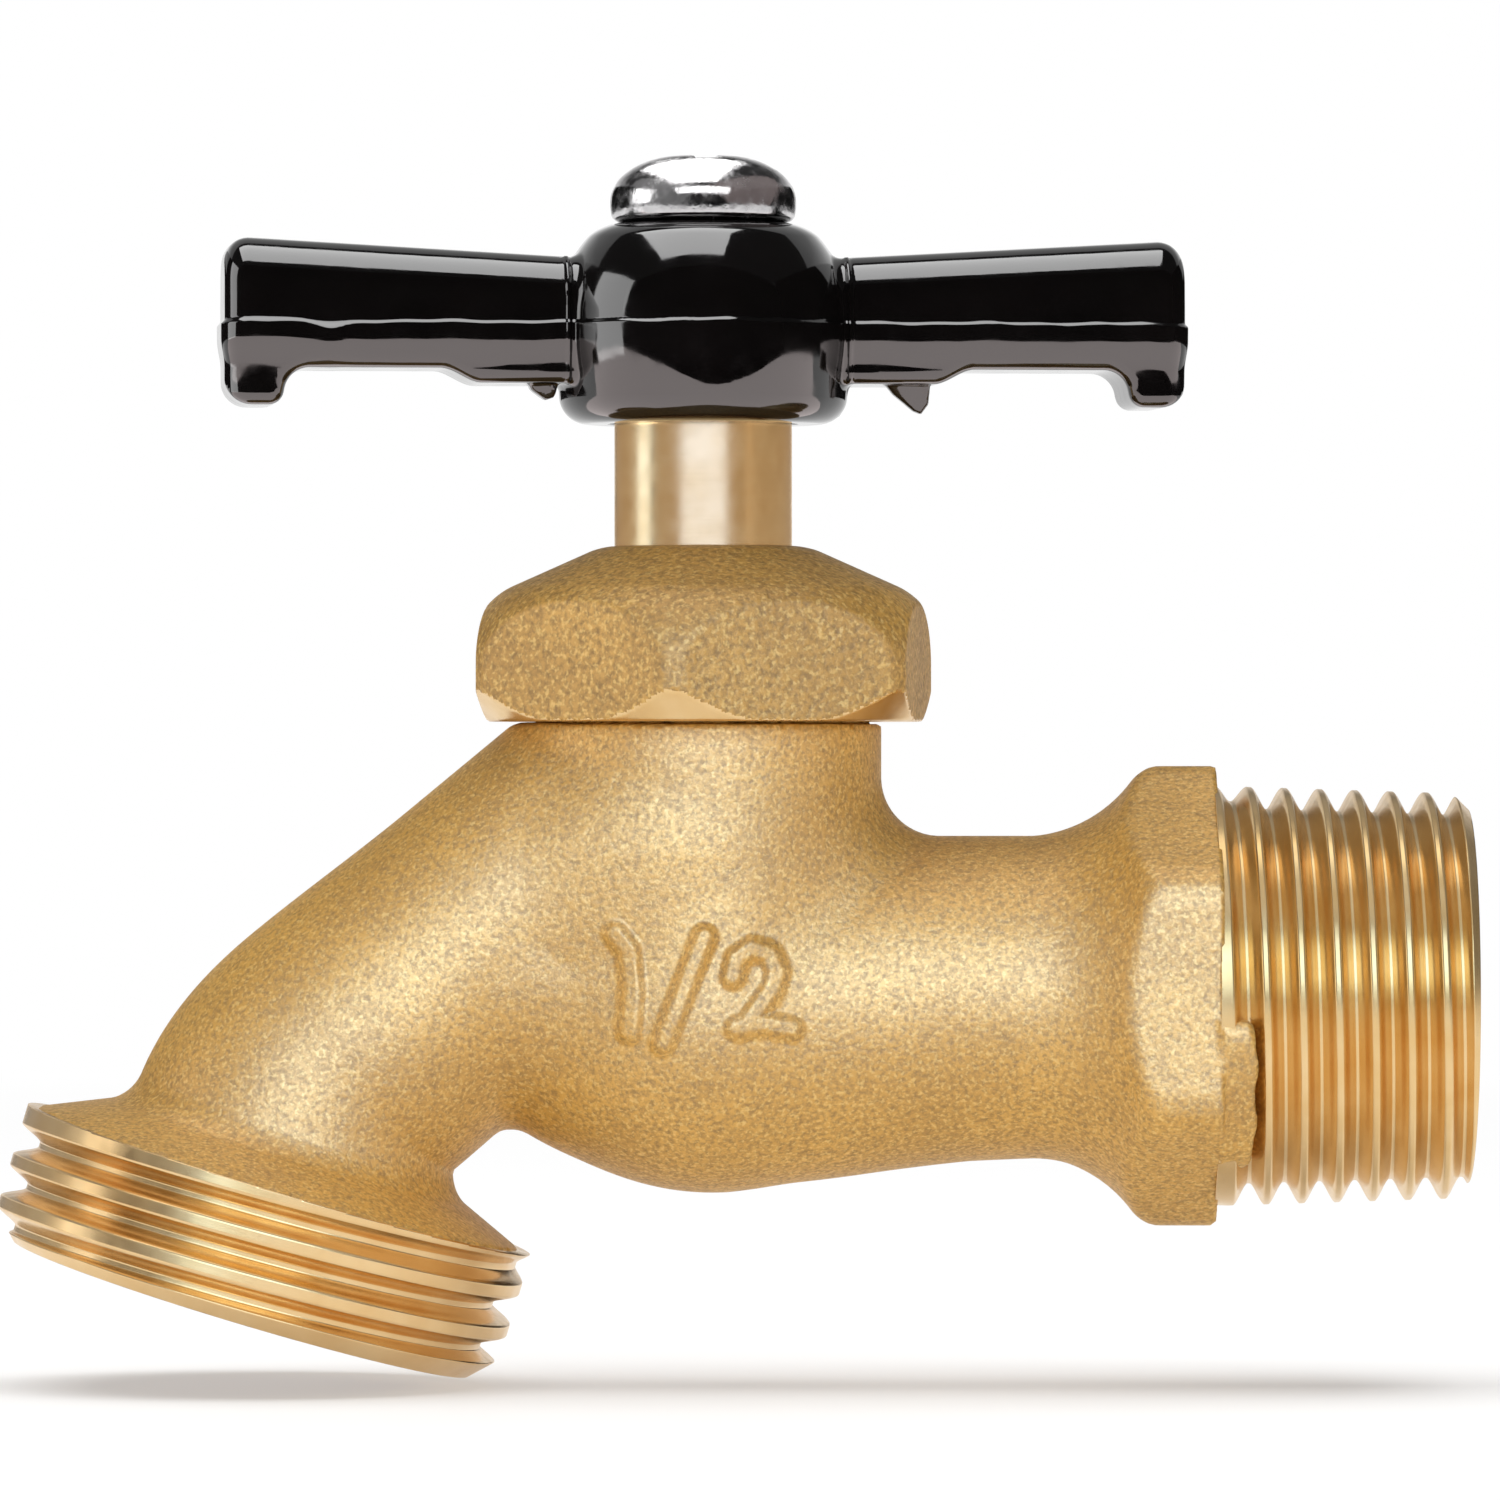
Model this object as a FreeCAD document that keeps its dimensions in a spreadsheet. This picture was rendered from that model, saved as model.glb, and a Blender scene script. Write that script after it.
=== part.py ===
import FreeCAD, Part
import math
import os
import Sketcher
from FreeCAD import Placement, Rotation, Vector

# Garden tap: half inch tapered inlet thread, hose thread outlet, tee handle.
# The origin is the centre of the inlet's open end. The inlet runs along X and the stem along Z.
# All lengths are in millimetres and all angles in degrees.

SIZES = {
    # inlet: pipe thread, wrench hexagon and pipe
    "inlet_thread_length": 11.6,
    "inlet_thread_radius": 10.36,
    "inlet_thread_taper": 1.79,
    "inlet_thread_pitch": 1.814,
    "inlet_thread_depth": 1.0,
    "inlet_thread_root": 0.2,
    "inlet_thread_crest": 0.4,
    "inlet_thread_start": 11.42,
    "inlet_end_chamfer": 0.8,
    "inlet_land_length": 1.2,
    "inlet_land_radius": 10.75,
    "inlet_hex_across_flats": 20.4,
    "inlet_hex_corner_radius": 11.7,
    "inlet_hex_length": 4.0,
    "inlet_flare_length": 5.4,
    "inlet_flare_curve": 7.0,
    "inlet_pipe_radius": 8.2,
    "inlet_bore_radius": 6.3,
    "inlet_bore_length": 30.0,
    # belly under the stem, turned about a line a little below the inlet's axis
    "stem_distance": 39.2,
    "belly_drop": 1.2,
    "belly_depth": 9.87,
    "belly_offset": 1.2,
    "belly_reach": 12.4,
    "belly_curve": 90.0,
    "belly_end_reach": 11.7,
    "belly_end_radius": 4.9,
    "belly_end_curve": 20.0,
    # neck for the bonnet nut
    "neck_radius": 9.13,
    "neck_shoulder_height": 13.95,
    "neck_bowl_depth": 9.6,
    "neck_bowl_start": 0.6,
    "neck_bowl_curve": 9.25,
    "spigot_radius": 8.45,
    "spigot_length": 4.75,
    # slanted arm from the neck to the outlet
    "arm_slope": 39.6,
    "arm_root_distance": 2.4,
    "arm_root_drop": 3.98,
    "arm_root_radius": 7.65,
    "arm_start_radius": 7.85,
    "arm_bend_curve": 9.5,
    "arm_bend_radius": 8.4,
    "arm_wall": 2.5,
    "arm_bore_root_gap": 0.4,
    "arm_bore_root_rise": 5.7,
    "arm_bore_root_radius": 3.9,
    # outlet: hose thread, tilted away from the inlet
    "outlet_distance": 62.9,
    "outlet_drop": 16.0,
    "outlet_tilt": 16.8,
    "outlet_neck_radius": 8.6,
    "outlet_shoulder_height": 1.9,
    "outlet_thread_radius": 13.45,
    "outlet_thread_pitch": 2.209,
    "outlet_thread_depth": 1.15,
    "outlet_thread_root": 0.3,
    "outlet_thread_crest": 0.65,
    "outlet_thread_length": 6.9,
    "outlet_thread_lead_in": 0.5,
    "outlet_end_chamfer": 1.3,
    "outlet_bore_radius": 9.6,
    "outlet_bore_depth": 6.2,
    # waterway, seat and upper chamber
    "lower_chamber_width": 10.6,
    "lower_chamber_corner": 2.9,
    "lower_chamber_floor": 7.2,
    "lower_chamber_roof": 0.8,
    "lower_chamber_start": 28.5,
    "seat_height": 3.2,
    "seat_hole_radius": 4.4,
    "seat_ring_radius": 5.8,
    "seat_ring_height": 0.9,
    "chamber_radius": 7.05,
    "chamber_height": 10.2,
    "chamber_cone_height": 1.0,
    # stem thread, cut on the spindle and in the neck
    "stem_thread_radius": 6.3,
    "stem_thread_depth": 0.85,
    "stem_thread_pitch": 2.54,
    "stem_thread_crest": 0.9,
    "stem_thread_flank": 0.35,
    "stem_thread_clearance": 0.14,
    "stem_thread_length": 4.8,
    "stem_foot_length": 1.2,
    # spindle
    "stem_radius": 4.55,
    "stem_proud": 7.95,
    "stem_foot_radius": 4.3,
    "stem_square": 6.3,
    "stem_square_gap": 0.06,
    "stem_top_gap": 0.3,
    "stem_gap": 0.07,
    # jumper, washer and nut
    "washer_thickness": 2.6,
    "washer_radius": 5.2,
    "jumper_plate_thickness": 1.6,
    "jumper_plate_radius": 5.3,
    "jumper_pin_radius": 1.9,
    "jumper_pin_length": 5.0,
    "jumper_pin_gap": 0.06,
    "jumper_pin_end_gap": 0.3,
    "jumper_spigot_radius": 1.5,
    "jumper_spigot_gap": 0.05,
    "jumper_spigot_proud": 0.5,
    "washer_nut_across_flats": 5.5,
    "washer_nut_height": 2.2,
    # packing
    "packing_washer_thickness": 0.8,
    "packing_thickness": 1.5,
    "packing_radius": 7.5,
    # bonnet nut
    "bonnet_across_flats": 22.0,
    "bonnet_corner_radius": 12.55,
    "bonnet_turn": 7.5,
    "bonnet_bottom_gap": 0.1,
    "bonnet_height": 9.0,
    "bonnet_side_height": 4.85,
    "bonnet_top_radius": 5.26,
    "bonnet_cone_radius": 9.8,
    "bonnet_cone_height": 6.97,
    "bonnet_edge_curve": 5.2,
    "bonnet_chamfer_width": 1.4,
    "bonnet_chamfer_height": 1.65,
    "bonnet_spigot_gap": 0.06,
    # tee handle
    "handle_turn": 6.0,
    "hub_pocket_depth": 1.7,
    "hub_height": 10.3,
    "hub_radius": 6.85,
    "hub_top_radius": 4.7,
    "hub_dome_height": 1.9,
    "hub_bottom_edge": 0.8,
    "hub_side_curve": 14.0,
    "hub_dome_curve": 3.2,
    "hub_pocket_gap": 0.12,
    "hub_web": 1.2,
    "bar_half_length": 24.55,
    "bar_depth": 6.6,
    "bar_height": 6.05,
    "bar_tip_rise": 0.85,
    "bar_rise": 2.65,
    "bar_root_drop": 0.9,
    "bar_root_reach": 10.5,
    "bar_step_length": 2.5,
    "bar_hook_drop": 1.95,
    "bar_hook_width": 3.7,
    "bar_hook_slant": 1.5,
    "bar_tip_curve": 1.6,
    "bar_edge": 1.4,
    # handle screw
    "screw_head_radius": 4.7,
    "screw_head_height": 3.45,
    "screw_head_base": 4.3,
    "screw_head_side": 1.25,
    "screw_head_side_start": 0.6,
    "screw_head_top_radius": 2.3,
    "screw_head_curve": 3.3,
    "screw_slot_width": 1.27,
    "screw_slot_depth": 1.3,
    "screw_slot_turn": 20.0,
    "screw_shank_radius": 2.0,
    "screw_shank_length": 8.0,
    "screw_hole_gap": 0.06,
    "screw_hole_spare": 1.5,
}

doc = FreeCAD.newDocument("GardenTap")
sheet = doc.addObject("Spreadsheet::Sheet", "Sizes")
for row, (alias, number) in enumerate(SIZES.items(), start=1):
    sheet.set(f"A{row}", alias)
    sheet.set(f"B{row}", str(number))
    sheet.setAlias(f"B{row}", alias)
doc.recompute()


# Sizes and expressions


class Size:
    """A number together with the sheet expression that gives it."""

    def __init__(self, value, text):
        self.value = value
        self.text = text

    def __add__(self, other):
        other = as_size(other)
        return Size(self.value + other.value, f"({self.text} + {other.text})")

    def __sub__(self, other):
        other = as_size(other)
        return Size(self.value - other.value, f"({self.text} - {other.text})")

    def __mul__(self, other):
        other = as_size(other)
        return Size(self.value * other.value, f"({self.text} * {other.text})")

    def __truediv__(self, other):
        other = as_size(other)
        return Size(self.value / other.value, f"({self.text} / {other.text})")

    def __neg__(self):
        return Size(-self.value, f"(0 - {self.text})")


def as_size(value):
    return value if isinstance(value, Size) else Size(float(value), f"{float(value):.9f}")


def sine(angle):
    return Size(math.sin(math.radians(angle.value)), f"sin({angle.text} * 1 deg)")


def cosine(angle):
    return Size(math.cos(math.radians(angle.value)), f"cos({angle.text} * 1 deg)")


def tangent(angle):
    return Size(math.tan(math.radians(angle.value)), f"tan({angle.text} * 1 deg)")


class Sheet:
    """The sheet's sizes by name."""

    def __getattr__(self, alias):
        return Size(float(sheet.get(alias)), f"Sizes.{alias}")


dim = Sheet()
ZERO = as_size(0)
CUT_REACH = 1.5  # how far a cut's outline reaches past what it cuts, as a share
GROOVE_SPARE = 0.25  # how far a groove's profile reaches out of the thread, in thread depths
SMALL_VOLUME = 1e-6


# Sketches and features


def new_body(label):
    body = doc.addObject("PartDesign::Body", label)
    body.Label = label
    body.Placement = Placement(Vector(0, 0, 0), Rotation())
    return body


def new_sketch(body, name, role, shift=(0, 0, 0), turn=0, about=Vector(0, 0, 1)):
    """A sketch on one of the body's own planes, shifted along the plane's axes and turned."""
    sketch = body.newObject("Sketcher::SketchObject", f"{body.Name}_{name}")
    plane = next(item for item in body.Origin.OriginFeatures if item.Role == role)
    sketch.AttachmentSupport = [(plane, "")]
    sketch.MapMode = "FlatFace"
    shift = [as_size(value) for value in shift]
    turn = as_size(turn)
    sketch.AttachmentOffset = Placement(Vector(*[size.value for size in shift]), Rotation(about, turn.value))
    for axis, size in zip("xyz", shift):
        sketch.setExpression(f"AttachmentOffset.Base.{axis}", size.text)
    if turn.value:
        sketch.setExpression("AttachmentOffset.Rotation.Angle", f"{turn.text} * 1 deg")
    return sketch


def tie(sketch, kind, places, size):
    """A driving constraint whose value comes from the sheet."""
    index = sketch.addConstraint(Sketcher.Constraint(kind, *places, size.value))
    sketch.setExpression(f"Constraints[{index}]", size.text)


def arc_centre(start, end, curve):
    """The centre of the arc from start to end that bulges to the right of the way round."""
    middle = (start + end) * 0.5
    half = (end - start) * 0.5
    left = Vector(-half.y, half.x, 0).normalize()
    reach = math.sqrt(curve * curve - half.Length * half.Length)
    return middle + left * math.copysign(reach, curve)


def outline(sketch, corners):
    """A closed outline. A third value in a corner is the radius of the arc that leaves it,
    positive where the arc bulges to the right of the way round."""
    corners = [[as_size(value) for value in corner] for corner in corners]
    points = [Vector(corner[0].value, corner[1].value, 0) for corner in corners]
    ends = []
    for i, corner in enumerate(corners):
        start = points[i]
        end = points[(i + 1) % len(points)]
        if len(corner) == 2:
            index = sketch.addGeometry(Part.LineSegment(start, end), False)
            ends.append((index, 1, 2))
            continue
        curve = corner[2].value
        centre = arc_centre(start, end, curve)
        first, last = (start, end) if curve > 0 else (end, start)
        angles = [math.atan2(point.y - centre.y, point.x - centre.x) for point in (first, last)]
        if angles[1] < angles[0]:
            angles[1] += 2 * math.pi
        circle = Part.Circle(centre, Vector(0, 0, 1), abs(curve))
        index = sketch.addGeometry(Part.ArcOfCircle(circle, *angles), False)
        ends.append((index, 1, 2) if curve > 0 else (index, 2, 1))
    for i, corner in enumerate(corners):
        index, first, last = ends[i]
        before = ends[i - 1]
        sketch.addConstraint(Sketcher.Constraint("Coincident", before[0], before[2], index, first))
        tie(sketch, "DistanceX", (-1, 1, index, first), corner[0])
        tie(sketch, "DistanceY", (-1, 1, index, first), corner[1])
        if len(corner) == 3:
            radius = corner[2] if corner[2].value > 0 else -corner[2]
            tie(sketch, "Radius", (index,), radius)
    return sketch


def circle(sketch, radius, x=0, y=0):
    radius, x, y = as_size(radius), as_size(x), as_size(y)
    shape = Part.Circle(Vector(x.value, y.value, 0), Vector(0, 0, 1), radius.value)
    index = sketch.addGeometry(shape, False)
    tie(sketch, "DistanceX", (-1, 1, index, 3), x)
    tie(sketch, "DistanceY", (-1, 1, index, 3), y)
    tie(sketch, "Radius", (index,), radius)
    return sketch


def polygon(sketch, sides, across_flats, first_angle=0.0):
    """A regular polygon with a corner at first_angle."""
    reach = across_flats / (2 * math.cos(math.pi / sides))
    angles = [math.radians(first_angle + 360.0 * i / sides) for i in range(sides)]
    return outline(sketch, [(reach * math.cos(angle), reach * math.sin(angle)) for angle in angles])


def feature(body, kind, name, sketch, adds):
    """A feature on a sketch. finish_feature is called once its sizes are set."""
    item = body.newObject(f"PartDesign::{kind}", f"{body.Name}_{name}")
    item.Profile = sketch
    item.addProperty("App::PropertyBool", "Adds")
    item.Adds = adds
    return item


def finish_feature(body, item, volume_before):
    doc.recompute()
    volume = body.Shape.Volume
    grew = volume > volume_before + SMALL_VOLUME
    shrank = volume < volume_before - SMALL_VOLUME
    if item.Adds and not grew or not item.Adds and not shrank:
        raise RuntimeError(f"{item.Name} changed nothing: {volume_before} to {volume}")
    return item


def volume_of(body):
    return 0.0 if body.Shape.isNull() else body.Shape.Volume


def spin(body, name, sketch, axis="V_Axis", cut=False):
    """Turn a profile a full circle about one of its sketch's axes, to add or cut."""
    before = volume_of(body)
    item = feature(body, "Groove" if cut else "Revolution", name, sketch, not cut)
    item.ReferenceAxis = (sketch, [axis])
    item.Angle = 360
    return finish_feature(body, item, before)


def extrude(body, name, sketch, length, cut=False, reverse=False, symmetric=False):
    """Pad or pocket a sketch by a length."""
    before = volume_of(body)
    item = feature(body, "Pocket" if cut else "Pad", name, sketch, not cut)
    item.Type = "Length"
    item.Length = length.value
    item.setExpression("Length", length.text)
    item.Reversed = reverse
    if symmetric:
        item.SideType = "Symmetric"
    return finish_feature(body, item, before)


def loft(body, name, sketches, cut=False):
    before = volume_of(body)
    item = feature(body, "SubtractiveLoft" if cut else "AdditiveLoft", name, sketches[0], not cut)
    item.Sections = sketches[1:]
    return finish_feature(body, item, before)


def cut_thread(body, name, sketch, axis, pitch, height, taper=None):
    """Cut a right-hand helical groove with the sketch's profile."""
    before = volume_of(body)
    item = feature(body, "SubtractiveHelix", name, sketch, False)
    item.ReferenceAxis = (sketch, [axis])
    item.Mode = "pitch-height-angle"
    item.Pitch = pitch.value
    item.setExpression("Pitch", pitch.text)
    item.Height = height.value
    item.setExpression("Height", height.text)
    if taper is not None:
        item.Angle = taper.value
        item.setExpression("Angle", taper.text)
    return finish_feature(body, item, before)


def round_edges(body, name, base, faces, radius):
    """Round every edge of some faces of the body's last feature."""
    before = volume_of(body)
    item = body.newObject("PartDesign::Fillet", f"{body.Name}_{name}")
    item.Base = (base, faces)
    item.Radius = radius.value
    item.setExpression("Radius", radius.text)
    item.addProperty("App::PropertyBool", "Adds")
    item.Adds = False
    return finish_feature(body, item, before)


def ring(label, inner, outer, bottom, height):
    """A flat ring on the stem's axis."""
    body = new_body(label)
    sketch = new_sketch(body, "section", "XY_Plane", (-dim.stem_distance, 0, bottom))
    circle(sketch, outer)
    circle(sketch, inner)
    extrude(body, "ring", sketch, height)
    return body


def place_on_stem(body, turn):
    """Move a piece that was made round the origin onto the stem's axis, turned about it."""
    turned = Rotation(Vector(0, 0, 1), turn.value)
    body.Placement = Placement(Vector(-dim.stem_distance.value, 0, 0), turned)
    body.setExpression("Placement.Base.x", (-dim.stem_distance).text)
    body.setExpression("Placement.Rotation.Angle", f"{turn.text} * 1 deg")


def stem_profile(body, name):
    """A sketch in the plane through the stem's axis, with that axis as its vertical."""
    return new_sketch(body, name, "XZ_Plane", (-dim.stem_distance, 0, 0))


# Heights and places that several pieces share

JUMPER_PLATE_BOTTOM = dim.seat_height + dim.washer_thickness
SPINDLE_BOTTOM = JUMPER_PLATE_BOTTOM + dim.jumper_plate_thickness
STEM_THREAD_BOTTOM = SPINDLE_BOTTOM + dim.stem_foot_length
STEM_THREAD_MIDDLE = STEM_THREAD_BOTTOM + dim.stem_thread_length / 2
SPIGOT_TOP = dim.neck_shoulder_height + dim.spigot_length
PACKING_BOTTOM = SPIGOT_TOP + dim.packing_washer_thickness
PACKING_TOP = PACKING_BOTTOM + dim.packing_thickness
BONNET_BOTTOM = dim.neck_shoulder_height + dim.bonnet_bottom_gap
BONNET_TOP = BONNET_BOTTOM + dim.bonnet_height
STEM_HOLE_RADIUS = dim.stem_radius + dim.stem_gap
STEM_SHOULDER = BONNET_TOP + dim.stem_proud
HUB_BOTTOM = STEM_SHOULDER - dim.hub_pocket_depth
HUB_TOP = HUB_BOTTOM + dim.hub_height
STEM_TOP = HUB_TOP - dim.hub_web - dim.stem_top_gap
NUT_HOLE_RADIUS = dim.jumper_spigot_radius + dim.jumper_spigot_gap
SPIGOT_HOLE_RADIUS = dim.spigot_radius + dim.bonnet_spigot_gap


# Body casting


def turn_inlet(body):
    """The pipe thread's blank, its land, the hexagon with its flare, and the pipe."""
    land_start = dim.inlet_thread_length
    hex_start = land_start + dim.inlet_land_length
    hex_end = hex_start + dim.inlet_hex_length
    pipe_start = hex_end + dim.inlet_flare_length
    taper = tangent(dim.inlet_thread_taper)
    sketch = new_sketch(body, "inlet_section", "XZ_Plane")
    outline(sketch, [
        (0, 0),
        (0, dim.inlet_thread_radius - dim.inlet_end_chamfer),
        (-dim.inlet_end_chamfer, dim.inlet_thread_radius + dim.inlet_end_chamfer * taper),
        (-land_start, dim.inlet_thread_radius + land_start * taper),
        (-land_start, dim.inlet_land_radius),
        (-hex_start, dim.inlet_land_radius),
        (-hex_start, dim.inlet_hex_corner_radius),
        (-hex_end, dim.inlet_hex_corner_radius, -dim.inlet_flare_curve),
        (-pipe_start, dim.inlet_pipe_radius),
        (-dim.stem_distance, dim.inlet_pipe_radius),
        (-dim.stem_distance, 0),
    ])
    spin(body, "inlet_turning", sketch, "H_Axis")
    flats = new_sketch(body, "inlet_flats", "YZ_Plane", (0, 0, -land_start))
    circle(flats, dim.inlet_hex_corner_radius * CUT_REACH)
    polygon(flats, 6, dim.inlet_hex_across_flats, 90)
    extrude(body, "inlet_hexagon", flats, pipe_start - land_start, cut=True)


def build_globe(body):
    """The upright neck with its bowl, and the belly that joins the bowl to the pipe and the arm."""
    neck = stem_profile(body, "neck_section")
    outline(neck, [
        (0, -dim.neck_bowl_depth, dim.neck_bowl_curve),
        (dim.neck_radius, -dim.neck_bowl_start),
        (dim.neck_radius, dim.neck_shoulder_height),
        (0, dim.neck_shoulder_height),
    ])
    spin(body, "neck", neck)
    middle = dim.stem_distance - dim.belly_offset
    belly = new_sketch(body, "belly_section", "XZ_Plane", (0, -dim.belly_drop, 0))
    outline(belly, [
        (-(middle - dim.belly_reach), 0),
        (-(middle - dim.belly_reach), dim.inlet_pipe_radius - dim.belly_drop, dim.belly_curve),
        (-middle, dim.belly_depth - dim.belly_drop, dim.belly_end_curve),
        (-(middle + dim.belly_end_reach), dim.belly_end_radius),
        (-(middle + dim.belly_end_reach), 0),
    ])
    spin(body, "belly", belly, "H_Axis")


def build_spigot(body):
    """The neck's shoulder, trimmed level, and the spigot that the bonnet nut goes over."""
    trim = new_sketch(body, "trim_circle", "XY_Plane", (-dim.stem_distance, 0, dim.neck_shoulder_height))
    circle(trim, dim.neck_radius + dim.arm_root_radius)
    extrude(body, "shoulder_trim", trim, dim.arm_root_radius, cut=True, reverse=True)
    foot = dim.neck_shoulder_height / 2
    spigot = new_sketch(body, "spigot_circle", "XY_Plane", (-dim.stem_distance, 0, foot))
    circle(spigot, dim.spigot_radius)
    extrude(body, "spigot", spigot, SPIGOT_TOP - foot)


def arm_sections(body, name, root, root_radius, wall):
    """Circles across the slanted arm, from its root, round the bend, to the outlet."""
    outlet_slope = as_size(90) - dim.outlet_tilt
    reach = dim.outlet_thread_length + dim.outlet_shoulder_height
    end_x = -dim.outlet_distance + reach * cosine(outlet_slope)
    end_z = -dim.outlet_drop + reach * sine(outlet_slope)

    def bend_place(share):
        turn = (outlet_slope - dim.arm_slope) * share
        chord = dim.arm_bend_curve * 2 * sine(turn / 2)
        chord_slope = outlet_slope - turn / 2
        return end_x + chord * cosine(chord_slope), end_z + chord * sine(chord_slope)

    start = bend_place(1)
    middle = ((root[0] + start[0]) / 2, (root[1] + start[1]) / 2)
    places = [
        (root, dim.arm_slope, root_radius),
        (middle, dim.arm_slope, root_radius),
        (start, dim.arm_slope, dim.arm_start_radius - wall),
        (bend_place(0.5), (dim.arm_slope + outlet_slope) / 2, dim.arm_bend_radius - wall),
        ((end_x, end_z), outlet_slope, dim.outlet_neck_radius - wall),
    ]
    sketches = []
    for i, ((x, z), slope, radius) in enumerate(places):
        sketch = new_sketch(body, f"{name}_{i}", "XY_Plane", (x, 0, z), as_size(90) - slope, Vector(0, 1, 0))
        sketches.append(circle(sketch, radius))
    return sketches


def build_arm(body):
    root_height = dim.neck_shoulder_height - dim.arm_root_drop
    root = (-(dim.stem_distance + dim.arm_root_distance), root_height)
    loft(body, "arm", arm_sections(body, "arm", root, dim.arm_root_radius, ZERO))


def cut_arm_bore(body):
    """The arm's bore, from above the seat's ring to the outlet."""
    root_x = -(dim.stem_distance + dim.seat_ring_radius + dim.arm_bore_root_gap)
    root = (root_x, dim.seat_height + dim.arm_bore_root_rise)
    sections = arm_sections(body, "bore", root, dim.arm_bore_root_radius, dim.arm_wall)
    loft(body, "arm_bore", sections, cut=True)


def outlet_sketch(body, name):
    """A sketch whose origin is the outlet's mouth and whose vertical points out of it."""
    place = (-dim.outlet_distance, -dim.outlet_drop, 0)
    return new_sketch(body, name, "XZ_Plane", place, as_size(180) - dim.outlet_tilt)


def build_outlet(body):
    """The shoulder and the blank of the hose thread."""
    neck_end = -(dim.outlet_thread_length + dim.outlet_shoulder_height)
    sketch = outlet_sketch(body, "outlet_section")
    outline(sketch, [
        (0, neck_end),
        (dim.outlet_neck_radius, neck_end),
        (dim.outlet_thread_radius, -dim.outlet_thread_length),
        (dim.outlet_thread_radius, -dim.outlet_end_chamfer),
        (dim.outlet_thread_radius - dim.outlet_end_chamfer, 0),
        (0, 0),
    ])
    spin(body, "outlet_turning", sketch)


def cut_waterway(body):
    """The passage from the inlet, under the seat, up through it and down the arm."""
    inlet = new_sketch(body, "inlet_bore_section", "XZ_Plane")
    outline(inlet, [
        (0, 0),
        (0, dim.inlet_bore_radius),
        (-dim.inlet_bore_length, dim.inlet_bore_radius),
        (-dim.inlet_bore_length, 0),
    ])
    spin(body, "inlet_bore", inlet, "H_Axis", cut=True)

    corner = dim.lower_chamber_corner
    half_width = dim.lower_chamber_width / 2
    floor = -dim.lower_chamber_floor
    roof = -dim.lower_chamber_roof
    lower = new_sketch(body, "lower_chamber_section", "YZ_Plane", (0, 0, -dim.lower_chamber_start))
    outline(lower, [
        (corner - half_width, floor),
        (half_width - corner, floor, corner),
        (half_width, floor + corner),
        (half_width, roof - corner, corner),
        (half_width - corner, roof),
        (corner - half_width, roof, corner),
        (-half_width, roof - corner),
        (-half_width, floor + corner, corner),
    ])
    length = dim.stem_distance + dim.seat_hole_radius - dim.lower_chamber_start
    extrude(body, "lower_chamber", lower, length, cut=True)

    floor_height = dim.seat_height - dim.seat_ring_height
    thread_bore = dim.stem_thread_radius - dim.stem_thread_depth + dim.stem_thread_clearance
    chamber = stem_profile(body, "chamber_section")
    outline(chamber, [
        (0, -dim.lower_chamber_floor + corner),
        (dim.seat_hole_radius, -dim.lower_chamber_floor + corner),
        (dim.seat_hole_radius, dim.seat_height),
        (dim.seat_ring_radius, dim.seat_height),
        (dim.seat_ring_radius, floor_height),
        (dim.chamber_radius, floor_height),
        (dim.chamber_radius, dim.chamber_height),
        (thread_bore, dim.chamber_height + dim.chamber_cone_height),
        (thread_bore, SPIGOT_TOP),
        (0, SPIGOT_TOP),
    ])
    spin(body, "chamber", chamber, cut=True)

    cut_arm_bore(body)
    outlet = outlet_sketch(body, "outlet_bore_section")
    bore_end = -(dim.outlet_thread_length + dim.outlet_shoulder_height)
    outline(outlet, [
        (0, bore_end),
        (dim.outlet_neck_radius - dim.arm_wall, bore_end),
        (dim.outlet_bore_radius, -dim.outlet_bore_depth),
        (dim.outlet_bore_radius, 0),
        (0, 0),
    ])
    spin(body, "outlet_bore", outlet, cut=True)


def thread_groove(sketch, radius, depth, root, mouth, centre, along, side=1):
    """A V groove with a flat root. along is the sketch axis that the thread runs along, and side
    is the side of that axis on which the groove starts."""
    spare = depth * GROOVE_SPARE
    flank = (mouth - root) / (depth * 2)
    half_root = root / 2
    half_mouth = mouth / 2 + flank * spare
    corners = [
        (centre - half_root, (radius - depth) * side),
        (centre - half_mouth, (radius + spare) * side),
        (centre + half_mouth, (radius + spare) * side),
        (centre + half_root, (radius - depth) * side),
    ]
    if along == "y":
        corners = [(across, place) for place, across in corners]
    return outline(sketch, corners)


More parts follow.
